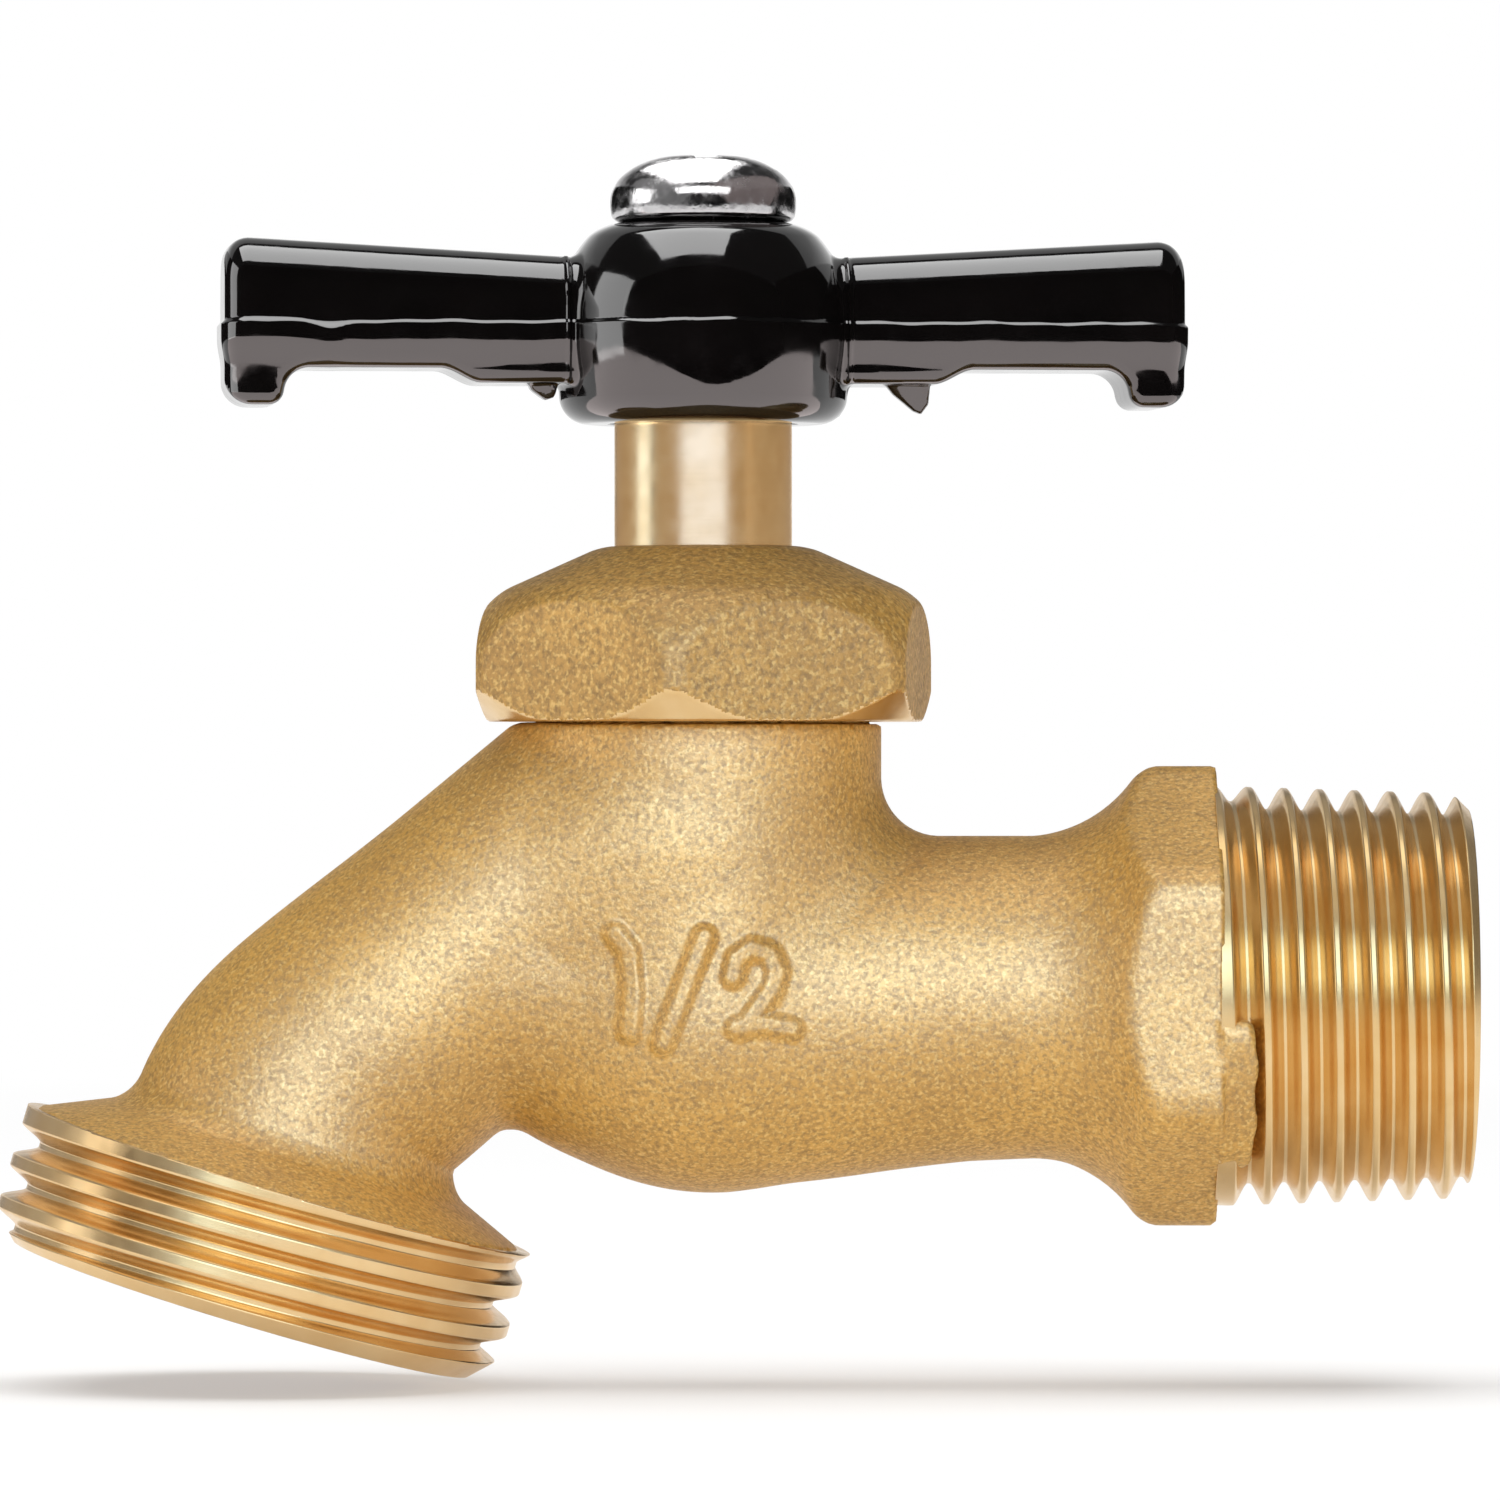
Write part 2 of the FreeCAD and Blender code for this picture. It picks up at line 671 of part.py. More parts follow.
def cut_body_threads(body):
    outlet = outlet_sketch(body, "outlet_groove")
    start = -(dim.outlet_thread_length + dim.outlet_thread_lead_in)
    mouth = dim.outlet_thread_pitch - dim.outlet_thread_crest
    thread_groove(outlet, dim.outlet_thread_radius, dim.outlet_thread_depth, dim.outlet_thread_root,
                  mouth, start, "y")
    cut_thread(body, "outlet_thread", outlet, "V_Axis", dim.outlet_thread_pitch,
               dim.outlet_thread_pitch - start)

    inlet = new_sketch(body, "inlet_groove", "XZ_Plane")
    start = dim.inlet_thread_start
    radius = dim.inlet_thread_radius + start * tangent(dim.inlet_thread_taper)
    mouth = dim.inlet_thread_pitch - dim.inlet_thread_crest
    thread_groove(inlet, radius, dim.inlet_thread_depth, dim.inlet_thread_root, mouth, -start, "x", -1)
    cut_thread(body, "inlet_thread", inlet, "H_Axis", dim.inlet_thread_pitch,
               start + dim.inlet_thread_pitch, -dim.inlet_thread_taper)

    neck = stem_profile(body, "neck_groove")
    gap = dim.stem_thread_clearance
    start = STEM_THREAD_MIDDLE - dim.stem_thread_pitch
    bore = dim.stem_thread_radius - dim.stem_thread_depth + gap
    root = dim.stem_thread_crest / 2 + gap
    mouth = root + dim.stem_thread_flank * dim.stem_thread_depth
    spare = dim.stem_thread_depth * GROOVE_SPARE
    outline(neck, [
        (bore - spare, start - mouth - dim.stem_thread_flank * spare),
        (dim.stem_thread_radius + gap, start - root),
        (dim.stem_thread_radius + gap, start + root),
        (bore - spare, start + mouth + dim.stem_thread_flank * spare),
    ])
    cut_thread(body, "neck_thread", neck, "V_Axis", dim.stem_thread_pitch,
               SPIGOT_TOP + dim.stem_thread_pitch - start)


def build_tap_body():
    body = new_body("tap_body")
    turn_inlet(body)
    build_globe(body)
    build_arm(body)
    build_spigot(body)
    build_outlet(body)
    cut_waterway(body)
    cut_body_threads(body)
    return body


# Valve pieces


def build_jumper():
    """The plate that carries the washer, its pin in the spindle's foot and its threaded end below."""
    body = new_body("jumper")
    spigot_end = dim.seat_height - dim.washer_nut_height - dim.jumper_spigot_proud
    pin_end = SPINDLE_BOTTOM + dim.jumper_pin_length
    sketch = stem_profile(body, "section")
    outline(sketch, [
        (0, spigot_end),
        (dim.jumper_spigot_radius, spigot_end),
        (dim.jumper_spigot_radius, JUMPER_PLATE_BOTTOM),
        (dim.jumper_plate_radius, JUMPER_PLATE_BOTTOM),
        (dim.jumper_plate_radius, SPINDLE_BOTTOM),
        (dim.jumper_pin_radius, SPINDLE_BOTTOM),
        (dim.jumper_pin_radius, pin_end),
        (0, pin_end),
    ])
    spin(body, "turning", sketch)
    return body


def build_seat_washer():
    return ring("seat_washer", NUT_HOLE_RADIUS, dim.washer_radius, dim.seat_height, dim.washer_thickness)


def build_washer_nut():
    body = new_body("washer_nut")
    bottom = dim.seat_height - dim.washer_nut_height
    sketch = new_sketch(body, "section", "XY_Plane", (-dim.stem_distance, 0, bottom))
    polygon(sketch, 6, dim.washer_nut_across_flats)
    circle(sketch, NUT_HOLE_RADIUS)
    extrude(body, "hexagon", sketch, dim.washer_nut_height)
    return body


# Spindle


def build_spindle():
    body = new_body("spindle")
    thread_top = STEM_THREAD_BOTTOM + dim.stem_thread_length
    sketch = stem_profile(body, "section")
    outline(sketch, [
        (0, SPINDLE_BOTTOM),
        (dim.stem_foot_radius, SPINDLE_BOTTOM),
        (dim.stem_foot_radius, STEM_THREAD_BOTTOM),
        (dim.stem_thread_radius - dim.stem_thread_depth / 2, STEM_THREAD_BOTTOM),
        (dim.stem_thread_radius, STEM_THREAD_BOTTOM + dim.stem_thread_depth / 2),
        (dim.stem_thread_radius, thread_top - dim.stem_thread_depth / 2),
        (dim.stem_thread_radius - dim.stem_thread_depth / 2, thread_top),
        (dim.stem_radius, thread_top),
        (dim.stem_radius, STEM_SHOULDER),
        (0, STEM_SHOULDER),
    ])
    spin(body, "turning", sketch)

    place = (-dim.stem_distance, 0, STEM_SHOULDER)
    square = new_sketch(body, "square_section", "XY_Plane", place, dim.handle_turn)
    polygon(square, 4, dim.stem_square, 45)
    extrude(body, "square", square, STEM_TOP - STEM_SHOULDER)

    pin_bore = stem_profile(body, "pin_bore_section")
    radius = dim.jumper_pin_radius + dim.jumper_pin_gap
    end = SPINDLE_BOTTOM + dim.jumper_pin_length + dim.jumper_pin_end_gap
    outline(pin_bore, [(0, SPINDLE_BOTTOM), (radius, SPINDLE_BOTTOM), (radius, end), (0, end)])
    spin(body, "pin_bore", pin_bore, cut=True)

    screw_hole = stem_profile(body, "screw_hole_section")
    radius = dim.screw_shank_radius + dim.screw_hole_gap
    end = HUB_TOP - dim.screw_shank_length - dim.screw_hole_spare
    outline(screw_hole, [(0, end), (radius, end), (radius, STEM_TOP), (0, STEM_TOP)])
    spin(body, "screw_hole", screw_hole, cut=True)

    groove = stem_profile(body, "thread_groove")
    start = STEM_THREAD_MIDDLE - dim.stem_thread_pitch * 1.5
    half_mouth = (dim.stem_thread_pitch - dim.stem_thread_crest) / 2
    spare = dim.stem_thread_depth * GROOVE_SPARE
    half_root = half_mouth - dim.stem_thread_flank * dim.stem_thread_depth
    half_outer = half_mouth + dim.stem_thread_flank * spare
    root = dim.stem_thread_radius - dim.stem_thread_depth
    outline(groove, [
        (root, start - half_root),
        (dim.stem_thread_radius + spare, start - half_outer),
        (dim.stem_thread_radius + spare, start + half_outer),
        (root, start + half_root),
    ])
    cut_thread(body, "thread", groove, "V_Axis", dim.stem_thread_pitch,
               dim.stem_thread_length + dim.stem_thread_pitch * 2)
    return body


# Bonnet nut and packing


def build_packing_washer():
    return ring("packing_washer", STEM_HOLE_RADIUS, dim.packing_radius, SPIGOT_TOP,
                dim.packing_washer_thickness)


def build_packing_ring():
    return ring("packing_ring", STEM_HOLE_RADIUS, dim.packing_radius, PACKING_BOTTOM, dim.packing_thickness)


def build_bonnet_nut():
    body = new_body("bonnet_nut")
    spigot_room = SPIGOT_TOP + dim.bonnet_bottom_gap
    packing_bore = dim.packing_radius + dim.bonnet_spigot_gap
    sketch = stem_profile(body, "section")
    outline(sketch, [
        (SPIGOT_HOLE_RADIUS, BONNET_BOTTOM),
        (dim.bonnet_corner_radius - dim.bonnet_chamfer_width, BONNET_BOTTOM),
        (dim.bonnet_corner_radius, BONNET_BOTTOM + dim.bonnet_chamfer_height),
        (dim.bonnet_corner_radius, BONNET_BOTTOM + dim.bonnet_side_height, dim.bonnet_edge_curve),
        (dim.bonnet_cone_radius, BONNET_BOTTOM + dim.bonnet_cone_height),
        (dim.bonnet_top_radius, BONNET_TOP),
        (STEM_HOLE_RADIUS, BONNET_TOP),
        (STEM_HOLE_RADIUS, PACKING_TOP),
        (packing_bore, PACKING_TOP),
        (packing_bore, spigot_room),
        (SPIGOT_HOLE_RADIUS, spigot_room),
    ])
    spin(body, "turning", sketch)
    place = (-dim.stem_distance, 0, BONNET_BOTTOM)
    flats = new_sketch(body, "flats", "XY_Plane", place, as_size(30) - dim.bonnet_turn)
    circle(flats, dim.bonnet_corner_radius * CUT_REACH)
    polygon(flats, 6, dim.bonnet_across_flats)
    extrude(body, "hexagon", flats, dim.bonnet_height, cut=True, reverse=True)
    return body


# Handle and its screw


def both_sides(corners):
    """An outline's right half, from its foot to its top, followed by its mirror image."""
    mirrored = []
    for i in range(len(corners) - 1, -1, -1):
        curve = corners[i - 1][2:] if i > 0 else ()
        mirrored.append((-corners[i][0], corners[i][1], *curve))
    return corners + mirrored


def build_handle():
    """The handle, made round its own axis and then set on the stem, a little turned."""
    body = new_body("handle")
    end = dim.bar_half_length
    underside = HUB_BOTTOM + dim.bar_rise
    top = underside + dim.bar_height
    hook_start = end - dim.bar_hook_width
    hook_bottom = underside - dim.bar_hook_drop
    tip_top = top + dim.bar_tip_rise
    curve = dim.bar_tip_curve
    bar = new_sketch(body, "bar_outline", "XZ_Plane")
    outline(bar, both_sides([
        (dim.bar_root_reach, underside - dim.bar_root_drop),
        (dim.bar_root_reach + dim.bar_step_length, underside),
        (hook_start, underside),
        (hook_start + dim.bar_hook_slant, hook_bottom),
        (end - curve, hook_bottom, curve),
        (end, hook_bottom + curve),
        (end, tip_top - curve, curve),
        (end - curve, tip_top),
        (dim.bar_root_reach, top),
    ]))
    pad = extrude(body, "bar", bar, dim.bar_depth, symmetric=True)
    sides = [
        f"Face{i}" for i, face in enumerate(pad.Shape.Faces, start=1)
        if face.Surface.TypeId == "Part::GeomPlane" and abs(face.normalAt(0, 0).y) > 0.999
    ]
    round_edges(body, "bar_edges", pad, sides, dim.bar_edge)

    dome_start = HUB_TOP - dim.hub_dome_height
    hub = new_sketch(body, "hub_section", "XZ_Plane")
    outline(hub, [
        (0, HUB_BOTTOM),
        (dim.hub_radius - dim.hub_bottom_edge, HUB_BOTTOM, dim.hub_bottom_edge),
        (dim.hub_radius, HUB_BOTTOM + dim.hub_bottom_edge, dim.hub_side_curve),
        (dim.hub_radius, dome_start, dim.hub_dome_curve),
        (dim.hub_top_radius, HUB_TOP),
        (0, HUB_TOP),
    ])
    spin(body, "hub", hub)

    pocket = new_sketch(body, "stem_pocket_section", "XZ_Plane")
    radius = dim.stem_radius + dim.hub_pocket_gap
    outline(pocket, [
        (0, HUB_BOTTOM),
        (radius, HUB_BOTTOM),
        (radius, STEM_SHOULDER),
        (0, STEM_SHOULDER),
    ])
    spin(body, "stem_pocket", pocket, cut=True)

    place = (0, 0, STEM_SHOULDER)
    square = new_sketch(body, "square_hole_section", "XY_Plane", place)
    polygon(square, 4, dim.stem_square + dim.stem_square_gap * 2, 45)
    depth = HUB_TOP - dim.hub_web - STEM_SHOULDER
    extrude(body, "square_hole", square, depth, cut=True, reverse=True)

    screw_hole = new_sketch(body, "screw_hole_section", "XY_Plane", place)
    circle(screw_hole, dim.screw_shank_radius + dim.screw_hole_gap)
    extrude(body, "screw_hole", screw_hole, HUB_TOP - STEM_SHOULDER, cut=True, reverse=True)
    place_on_stem(body, dim.handle_turn)
    return body


def build_handle_screw():
    body = new_body("handle_screw")
    side_start = HUB_TOP + dim.screw_head_side_start
    side_end = HUB_TOP + dim.screw_head_side
    top = HUB_TOP + dim.screw_head_height
    shank_end = HUB_TOP - dim.screw_shank_length
    sketch = stem_profile(body, "section")
    outline(sketch, [
        (0, shank_end),
        (dim.screw_shank_radius, shank_end),
        (dim.screw_shank_radius, HUB_TOP),
        (dim.screw_head_base, HUB_TOP),
        (dim.screw_head_radius, side_start),
        (dim.screw_head_radius, side_end, dim.screw_head_curve),
        (dim.screw_head_top_radius, top),
        (0, top),
    ])
    spin(body, "turning", sketch)
    place = (-dim.stem_distance, 0, top)
    slot = new_sketch(body, "slot_section", "XY_Plane", place, as_size(90) - dim.screw_slot_turn)
    half_length = dim.screw_head_radius * CUT_REACH
    half_width = dim.screw_slot_width / 2
    outline(slot, [
        (-half_length, -half_width),
        (half_length, -half_width),
        (half_length, half_width),
        (-half_length, half_width),
    ])
    extrude(body, "slot", slot, dim.screw_slot_depth, cut=True)
    return body


PIECES = [
    build_tap_body(),
    build_bonnet_nut(),
    build_packing_washer(),
    build_packing_ring(),
    build_jumper(),
    build_seat_washer(),
    build_washer_nut(),
    build_spindle(),
    build_handle(),
    build_handle_screw(),
]


# Test and export

doc.recompute()
for item in doc.Objects:
    if "Invalid" in item.State or "Error" in item.State:
        raise RuntimeError(f"{item.Name} failed: {item.State}")
os.makedirs("parts", exist_ok=True)
for piece in PIECES:
    if piece.Shape.isNull() or not piece.Shape.isValid():
        raise RuntimeError(f"{piece.Label} has no valid shape")
    piece.Shape.exportStep(f"parts/{piece.Label}.step")
    print(piece.Label, "solids", len(piece.Shape.Solids), "volume", round(piece.Shape.Volume, 2))
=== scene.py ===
import math

import bmesh
import bpy
import numpy as np
from mathutils import Matrix, Vector


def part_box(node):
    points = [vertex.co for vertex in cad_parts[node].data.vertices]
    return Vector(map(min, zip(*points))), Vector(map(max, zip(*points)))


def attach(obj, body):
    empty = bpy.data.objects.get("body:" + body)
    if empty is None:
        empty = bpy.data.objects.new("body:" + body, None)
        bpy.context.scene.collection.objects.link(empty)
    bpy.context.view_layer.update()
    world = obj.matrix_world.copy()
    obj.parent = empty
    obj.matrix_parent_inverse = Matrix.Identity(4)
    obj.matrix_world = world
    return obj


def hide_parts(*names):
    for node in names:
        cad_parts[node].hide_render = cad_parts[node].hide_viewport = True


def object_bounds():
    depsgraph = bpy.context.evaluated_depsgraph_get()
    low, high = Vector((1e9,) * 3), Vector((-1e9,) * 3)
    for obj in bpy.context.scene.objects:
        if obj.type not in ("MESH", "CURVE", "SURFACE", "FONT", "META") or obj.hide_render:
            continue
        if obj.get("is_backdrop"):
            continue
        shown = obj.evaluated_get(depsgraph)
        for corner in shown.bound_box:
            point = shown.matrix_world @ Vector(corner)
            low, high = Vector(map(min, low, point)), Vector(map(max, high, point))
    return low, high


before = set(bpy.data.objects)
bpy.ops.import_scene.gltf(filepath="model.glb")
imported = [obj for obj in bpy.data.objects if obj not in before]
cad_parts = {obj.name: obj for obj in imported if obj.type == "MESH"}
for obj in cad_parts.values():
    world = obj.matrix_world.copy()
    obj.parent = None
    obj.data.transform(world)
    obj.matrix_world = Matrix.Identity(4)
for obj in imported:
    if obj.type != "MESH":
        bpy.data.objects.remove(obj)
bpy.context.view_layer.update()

# Garden tap: a shot blasted brass casting with machined threads, a bonnet nut, a stem and a black
# tee handle. Shapes are worked out in millimetres and become metres when a mesh is written. The
# handle and the two threads have frames of their own, and all else is in the row's frame.

MM = 0.001


def node_box(node):
    """The lowest and highest corners of a node, in millimetres."""
    low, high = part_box(node)
    return low / MM, high / MM


BODY_LOW, BODY_HIGH = node_box("tap_body")
BONNET_LOW, BONNET_HIGH = node_box("bonnet_nut")
SPINDLE_LOW, SPINDLE_HIGH = node_box("spindle")
SCREW_LOW, SCREW_HIGH = node_box("handle_screw")
STEM_X = (SPINDLE_LOW.x + SPINDLE_HIGH.x) / 2
SPIGOT_TOP = BODY_HIGH.z
BONNET_GAP = 0.03
NECK_TOP = BONNET_LOW.z - BONNET_GAP
HUB_HEIGHT = 10.3
HUB_BOTTOM = node_box("handle")[0].z
HUB_TOP = HUB_BOTTOM + HUB_HEIGHT


# Distance fields: negative inside, in millimetres


def join(a, b, fillet):
    """Both solids, with a round fillet between them."""
    u = np.maximum(fillet - a, 0)
    v = np.maximum(fillet - b, 0)
    return np.maximum(fillet, np.minimum(a, b)) - np.hypot(u, v)


def meet(a, b, round_edge):
    """What both solids share, with its edge rounded."""
    return -join(-a, -b, round_edge)


def cut(a, b, round_edge):
    """The first solid without the second, with the cut's edge rounded."""
    return meet(a, -b, round_edge)


def smooth_step(value, start, end):
    """0 before the start, 1 after the end and a smooth rise between them."""
    share = np.clip((value - start) / (end - start), 0, 1)
    return share * share * (3 - 2 * share)


def ridge(value, middle, width):
    """A soft ridge, 1 high."""
    return np.exp(-((value - middle) / width) ** 2)


def cylinder(around, radius, height, bottom, top):
    """Distance from a cylinder between two heights. around is the distance from its axis."""
    return np.maximum(around - radius, np.maximum(height - top, bottom - height))


def hexagon(u, v, apothem, turn):
    """Distance from a hexagon whose first flat faces the angle turn, in degrees."""
    distance = -np.inf
    for i in range(6):
        angle = math.radians(turn + 60 * i)
        flat = u * math.cos(angle) + v * math.sin(angle) - apothem
        distance = np.maximum(distance, flat)
    return distance


def capsule(x, z, start, end):
    """Distance in the XZ plane to the straight line from start to end, and the share of the way."""
    along = (end[0] - start[0], end[1] - start[1])
    length_squared = along[0] ** 2 + along[1] ** 2
    share = ((x - start[0]) * along[0] + (z - start[1]) * along[1]) / length_squared
    share = np.clip(share, 0, 1)
    distance = np.hypot(x - start[0] - share * along[0], z - start[1] - share * along[1])
    return distance, share


def rounded_box(x, y, z, middle, half, edge):
    """Distance from a box with rounded edges."""
    outside = [np.abs(value - m) - (h - edge) for value, m, h in zip((x, y, z), middle, half)]
    reach = np.sqrt(sum(np.maximum(value, 0) ** 2 for value in outside))
    inner = np.minimum(np.maximum(np.maximum(outside[0], outside[1]), outside[2]), 0)
    return reach + inner - edge


# Meshes

SLOPE_STEP = 0.1  # in cells, for moving points
NORMAL_STEP = 0.15  # in cells, for shading
LEAST_STEEPNESS = 0.05
MOST_STEPS = 8
LEAST_LENGTH = 1e-9
MERGE_DISTANCE = 1e-7  # in metres


def crossings(values, corners):
    """The mean of the points where a cell's edges cross zero, as shares of the cell."""
    total = np.zeros((len(values), 3))
    count = np.zeros(len(values))
    for i, first in enumerate(corners):
        for j in range(i + 1, len(corners)):
            second = corners[j]
            if np.abs(second - first).sum() != 1:
                continue
            a, b = values[:, i], values[:, j]
            crosses = (a < 0) != (b < 0)
            share = np.where(crosses, a / np.where(crosses, a - b, 1), 0)
            point = first + share[:, None] * (second - first)
            total += np.where(crosses[:, None], point, 0)
            count += crosses
    return total / count[:, None]


def slopes(points, field, step):
    """The field's slope at each point."""
    slope = np.empty_like(points)
    for axis in range(3):
        shift = np.zeros(3)
        shift[axis] = step
        slope[:, axis] = field(*(points + shift).T) - field(*(points - shift).T)
    return slope / (2 * step)


def settle(points, field, step, rounds):
    """Move points along the field's slope until they lie on its surface. A point stays where it is
    in a round that would take it further away."""
    longest = step * MOST_STEPS
    for _ in range(rounds):
        value = field(*points.T)
        slope = slopes(points, field, step)
        steepness = np.maximum((slope ** 2).sum(1), LEAST_STEEPNESS)
        move = (value / steepness)[:, None] * slope
        moved = points - np.clip(move, -longest, longest)
        closer = np.abs(field(*moved.T)) < np.abs(value)
        points = np.where(closer[:, None], moved, points)
    return points


def surface_faces(inside, number):
    """A face for each grid line that crosses the surface, between the four cells round it. number
    holds each cell's point."""
    size = number.shape
    units = np.eye(3, dtype=int)
    first = inside[:-1, :-1, :-1]
    faces = []
    for axis in range(3):
        ahead, u, v = units[axis], units[(axis + 1) % 3], units[(axis + 2) % 3]
        second = inside[ahead[0]:, ahead[1]:, ahead[2]:][:size[0], :size[1], :size[2]]
        edges = np.argwhere(first != second)
        edges = edges[(edges[:, ahead == 0] > 0).all(1)]
        around = [number[tuple((edges - back).T)] for back in (0 * u, u, u + v, v)]
        quad = np.stack(around, axis=1)
        leaves = first[tuple(edges.T)]
        quad[leaves] = quad[leaves][:, ::-1]
        faces.append(quad)
    return np.concatenate(faces)[:, ::-1]


def refine(mesh, low, high, cuts):
    """Divide the faces of a mesh that lie between two corners."""
    work = bmesh.new()
    work.from_mesh(mesh)
    low, high = Vector(low) * MM, Vector(high) * MM
    edges = set()
    for face in work.faces:
        middle = face.calc_center_median()
        if all(a < value < b for a, value, b in zip(low, middle, high)):
            edges.update(face.edges)
    bmesh.ops.subdivide_edges(work, edges=list(edges), cuts=cuts, use_grid_fill=True)
    work.to_mesh(mesh)
    work.free()


def make_mesh(name, points, faces):
    """A smooth shaded object from points in millimetres and faces with four corners."""
    mesh = bpy.data.meshes.new(name)
    mesh.from_pydata((points * MM).tolist(), [], faces.tolist())
    mesh.validate()
    mesh.update()
    mesh.shade_smooth()
    piece = bpy.data.objects.new(name, mesh)
    bpy.context.scene.collection.objects.link(piece)
    return piece


def mesh_points(mesh):
    """A mesh's points, in millimetres."""
    flat = np.empty(len(mesh.vertices) * 3)
    mesh.vertices.foreach_get("co", flat)
    return flat.reshape(-1, 3) / MM


def field_mesh(name, field, low, high, cell, fine=()):
    """A closed mesh of the surface where the field is zero, between two corners. Each fine box is
    a low corner, a high corner and the number of cuts across each face there."""
    axes = [np.arange(a - cell, b + 2 * cell, cell) for a, b in zip(low, high)]
    grid = field(axes[0][:, None, None], axes[1][None, :, None], axes[2][None, None, :])
    inside = grid < 0
    corners = np.array([(i, j, k) for i in (0, 1) for j in (0, 1) for k in (0, 1)])
    size = np.array(grid.shape) - 1
    count = np.zeros(size, np.int8)
    for i, j, k in corners:
        count += inside[i:i + size[0], j:j + size[1], k:k + size[2]]
    cells = np.argwhere((count > 0) & (count < len(corners)))
    number = np.full(size, -1)
    number[tuple(cells.T)] = np.arange(len(cells))
    values = np.stack([grid[tuple((cells + corner).T)] for corner in corners], axis=1)
    origin = np.array([axis[0] for axis in axes])
    points = origin + (cells + crossings(values, corners)) * cell
    points = settle(points, field, cell * SLOPE_STEP, 4)

    piece = make_mesh(name, points, surface_faces(inside, number))
    mesh = piece.data
    if fine:
        for box_low, box_high, cuts in fine:
            refine(mesh, box_low, box_high, cuts)
        points = settle(mesh_points(mesh), field, cell * SLOPE_STEP, 3)
        mesh.vertices.foreach_set("co", (points * MM).ravel())
        mesh.update()
        mesh.shade_smooth()
    normals = slopes(points, field, cell * NORMAL_STEP)
    normals /= np.maximum(np.linalg.norm(normals, axis=1), LEAST_LENGTH)[:, None]
    mesh.normals_split_custom_set_from_vertices(normals.tolist())
    return piece


def merge_close(piece):
    """Join points that lie on each other and drop the faces that vanish."""
    work = bmesh.new()
    work.from_mesh(piece.data)
    bmesh.ops.remove_doubles(work, verts=work.verts, dist=MERGE_DISTANCE)
    bmesh.ops.dissolve_degenerate(work, edges=work.edges, dist=MERGE_DISTANCE)
    bmesh.ops.recalc_face_normals(work, faces=work.faces)
    work.to_mesh(piece.data)
    work.free()
    piece.data.shade_smooth()


# Materials


class Material:
    """A Principled material, with helpers for the nodes that feed it."""

    def __init__(self, name, color, metallic, roughness):
        self.material = bpy.data.materials.new(name)
        self.material.use_nodes = True
        self.tree = self.material.node_tree
        self.shader = self.tree.nodes["Principled BSDF"]
        self.shader.inputs["Base Color"].default_value = (*color, 1)
        self.shader.inputs["Metallic"].default_value = metallic
        self.shader.inputs["Roughness"].default_value = roughness
        self.place = self.tree.nodes.new("ShaderNodeTexCoord").outputs["Object"]
        self.surface = None

    def link(self, source, target):
        self.tree.links.new(source, target)

    def noise(self, per_mm, detail=2.0, rough=0.5, stretch=None):
        """Noise from 0 to 1, with this many waves in each millimetre."""
        node = self.tree.nodes.new("ShaderNodeTexNoise")
        node.inputs["Scale"].default_value = per_mm / MM
        node.inputs["Detail"].default_value = detail
        node.inputs["Roughness"].default_value = rough
        place = self.place
        if stretch:
            mapping = self.tree.nodes.new("ShaderNodeMapping")
            mapping.inputs["Scale"].default_value = stretch
            self.link(place, mapping.inputs["Vector"])
            place = mapping.outputs["Vector"]
        self.link(place, node.inputs["Vector"])
        return node.outputs["Fac"]

    def remap(self, source, before, after):
        """The source with the range before, low and high, moved to the range after."""
        node = self.tree.nodes.new("ShaderNodeMapRange")
        keys = ("From Min", "From Max", "To Min", "To Max")
        for key, value in zip(keys, (*before, *after)):
            node.inputs[key].default_value = value
        self.link(source, node.inputs["Value"])
        return node.outputs["Result"]

    def blend(self, factor, first, second):
        """A mix of two, each a colour or an output."""
        node = self.tree.nodes.new("ShaderNodeMix")
        node.data_type = "RGBA"
        self.link(factor, node.inputs["Factor"])
        for key, value in (("A", first), ("B", second)):
            socket = next(s for s in node.inputs if s.name == key and s.type == "RGBA")
            if isinstance(value, tuple):
                socket.default_value = (*value, 1)
            else:
                self.link(value, socket)
        return next(s for s in node.outputs if s.type == "RGBA")

    def bump(self, height, depth_mm, strength):
        """Stack one more bump on the surface."""
        node = self.tree.nodes.new("ShaderNodeBump")
        node.inputs["Distance"].default_value = depth_mm * MM
        node.inputs["Strength"].default_value = strength
        self.link(height, node.inputs["Height"])
        if self.surface:
            self.link(self.surface, node.inputs["Normal"])
        self.surface = node.outputs["Normal"]
        self.link(self.surface, self.shader.inputs["Normal"])

    def color(self, source):
        self.link(source, self.shader.inputs["Base Color"])

    def roughness(self, source):
        self.link(source, self.shader.inputs["Roughness"])


GRAIN_SHADE = 0.62
GRAIN_GLINT = (0.88, 0.58, 0.17)


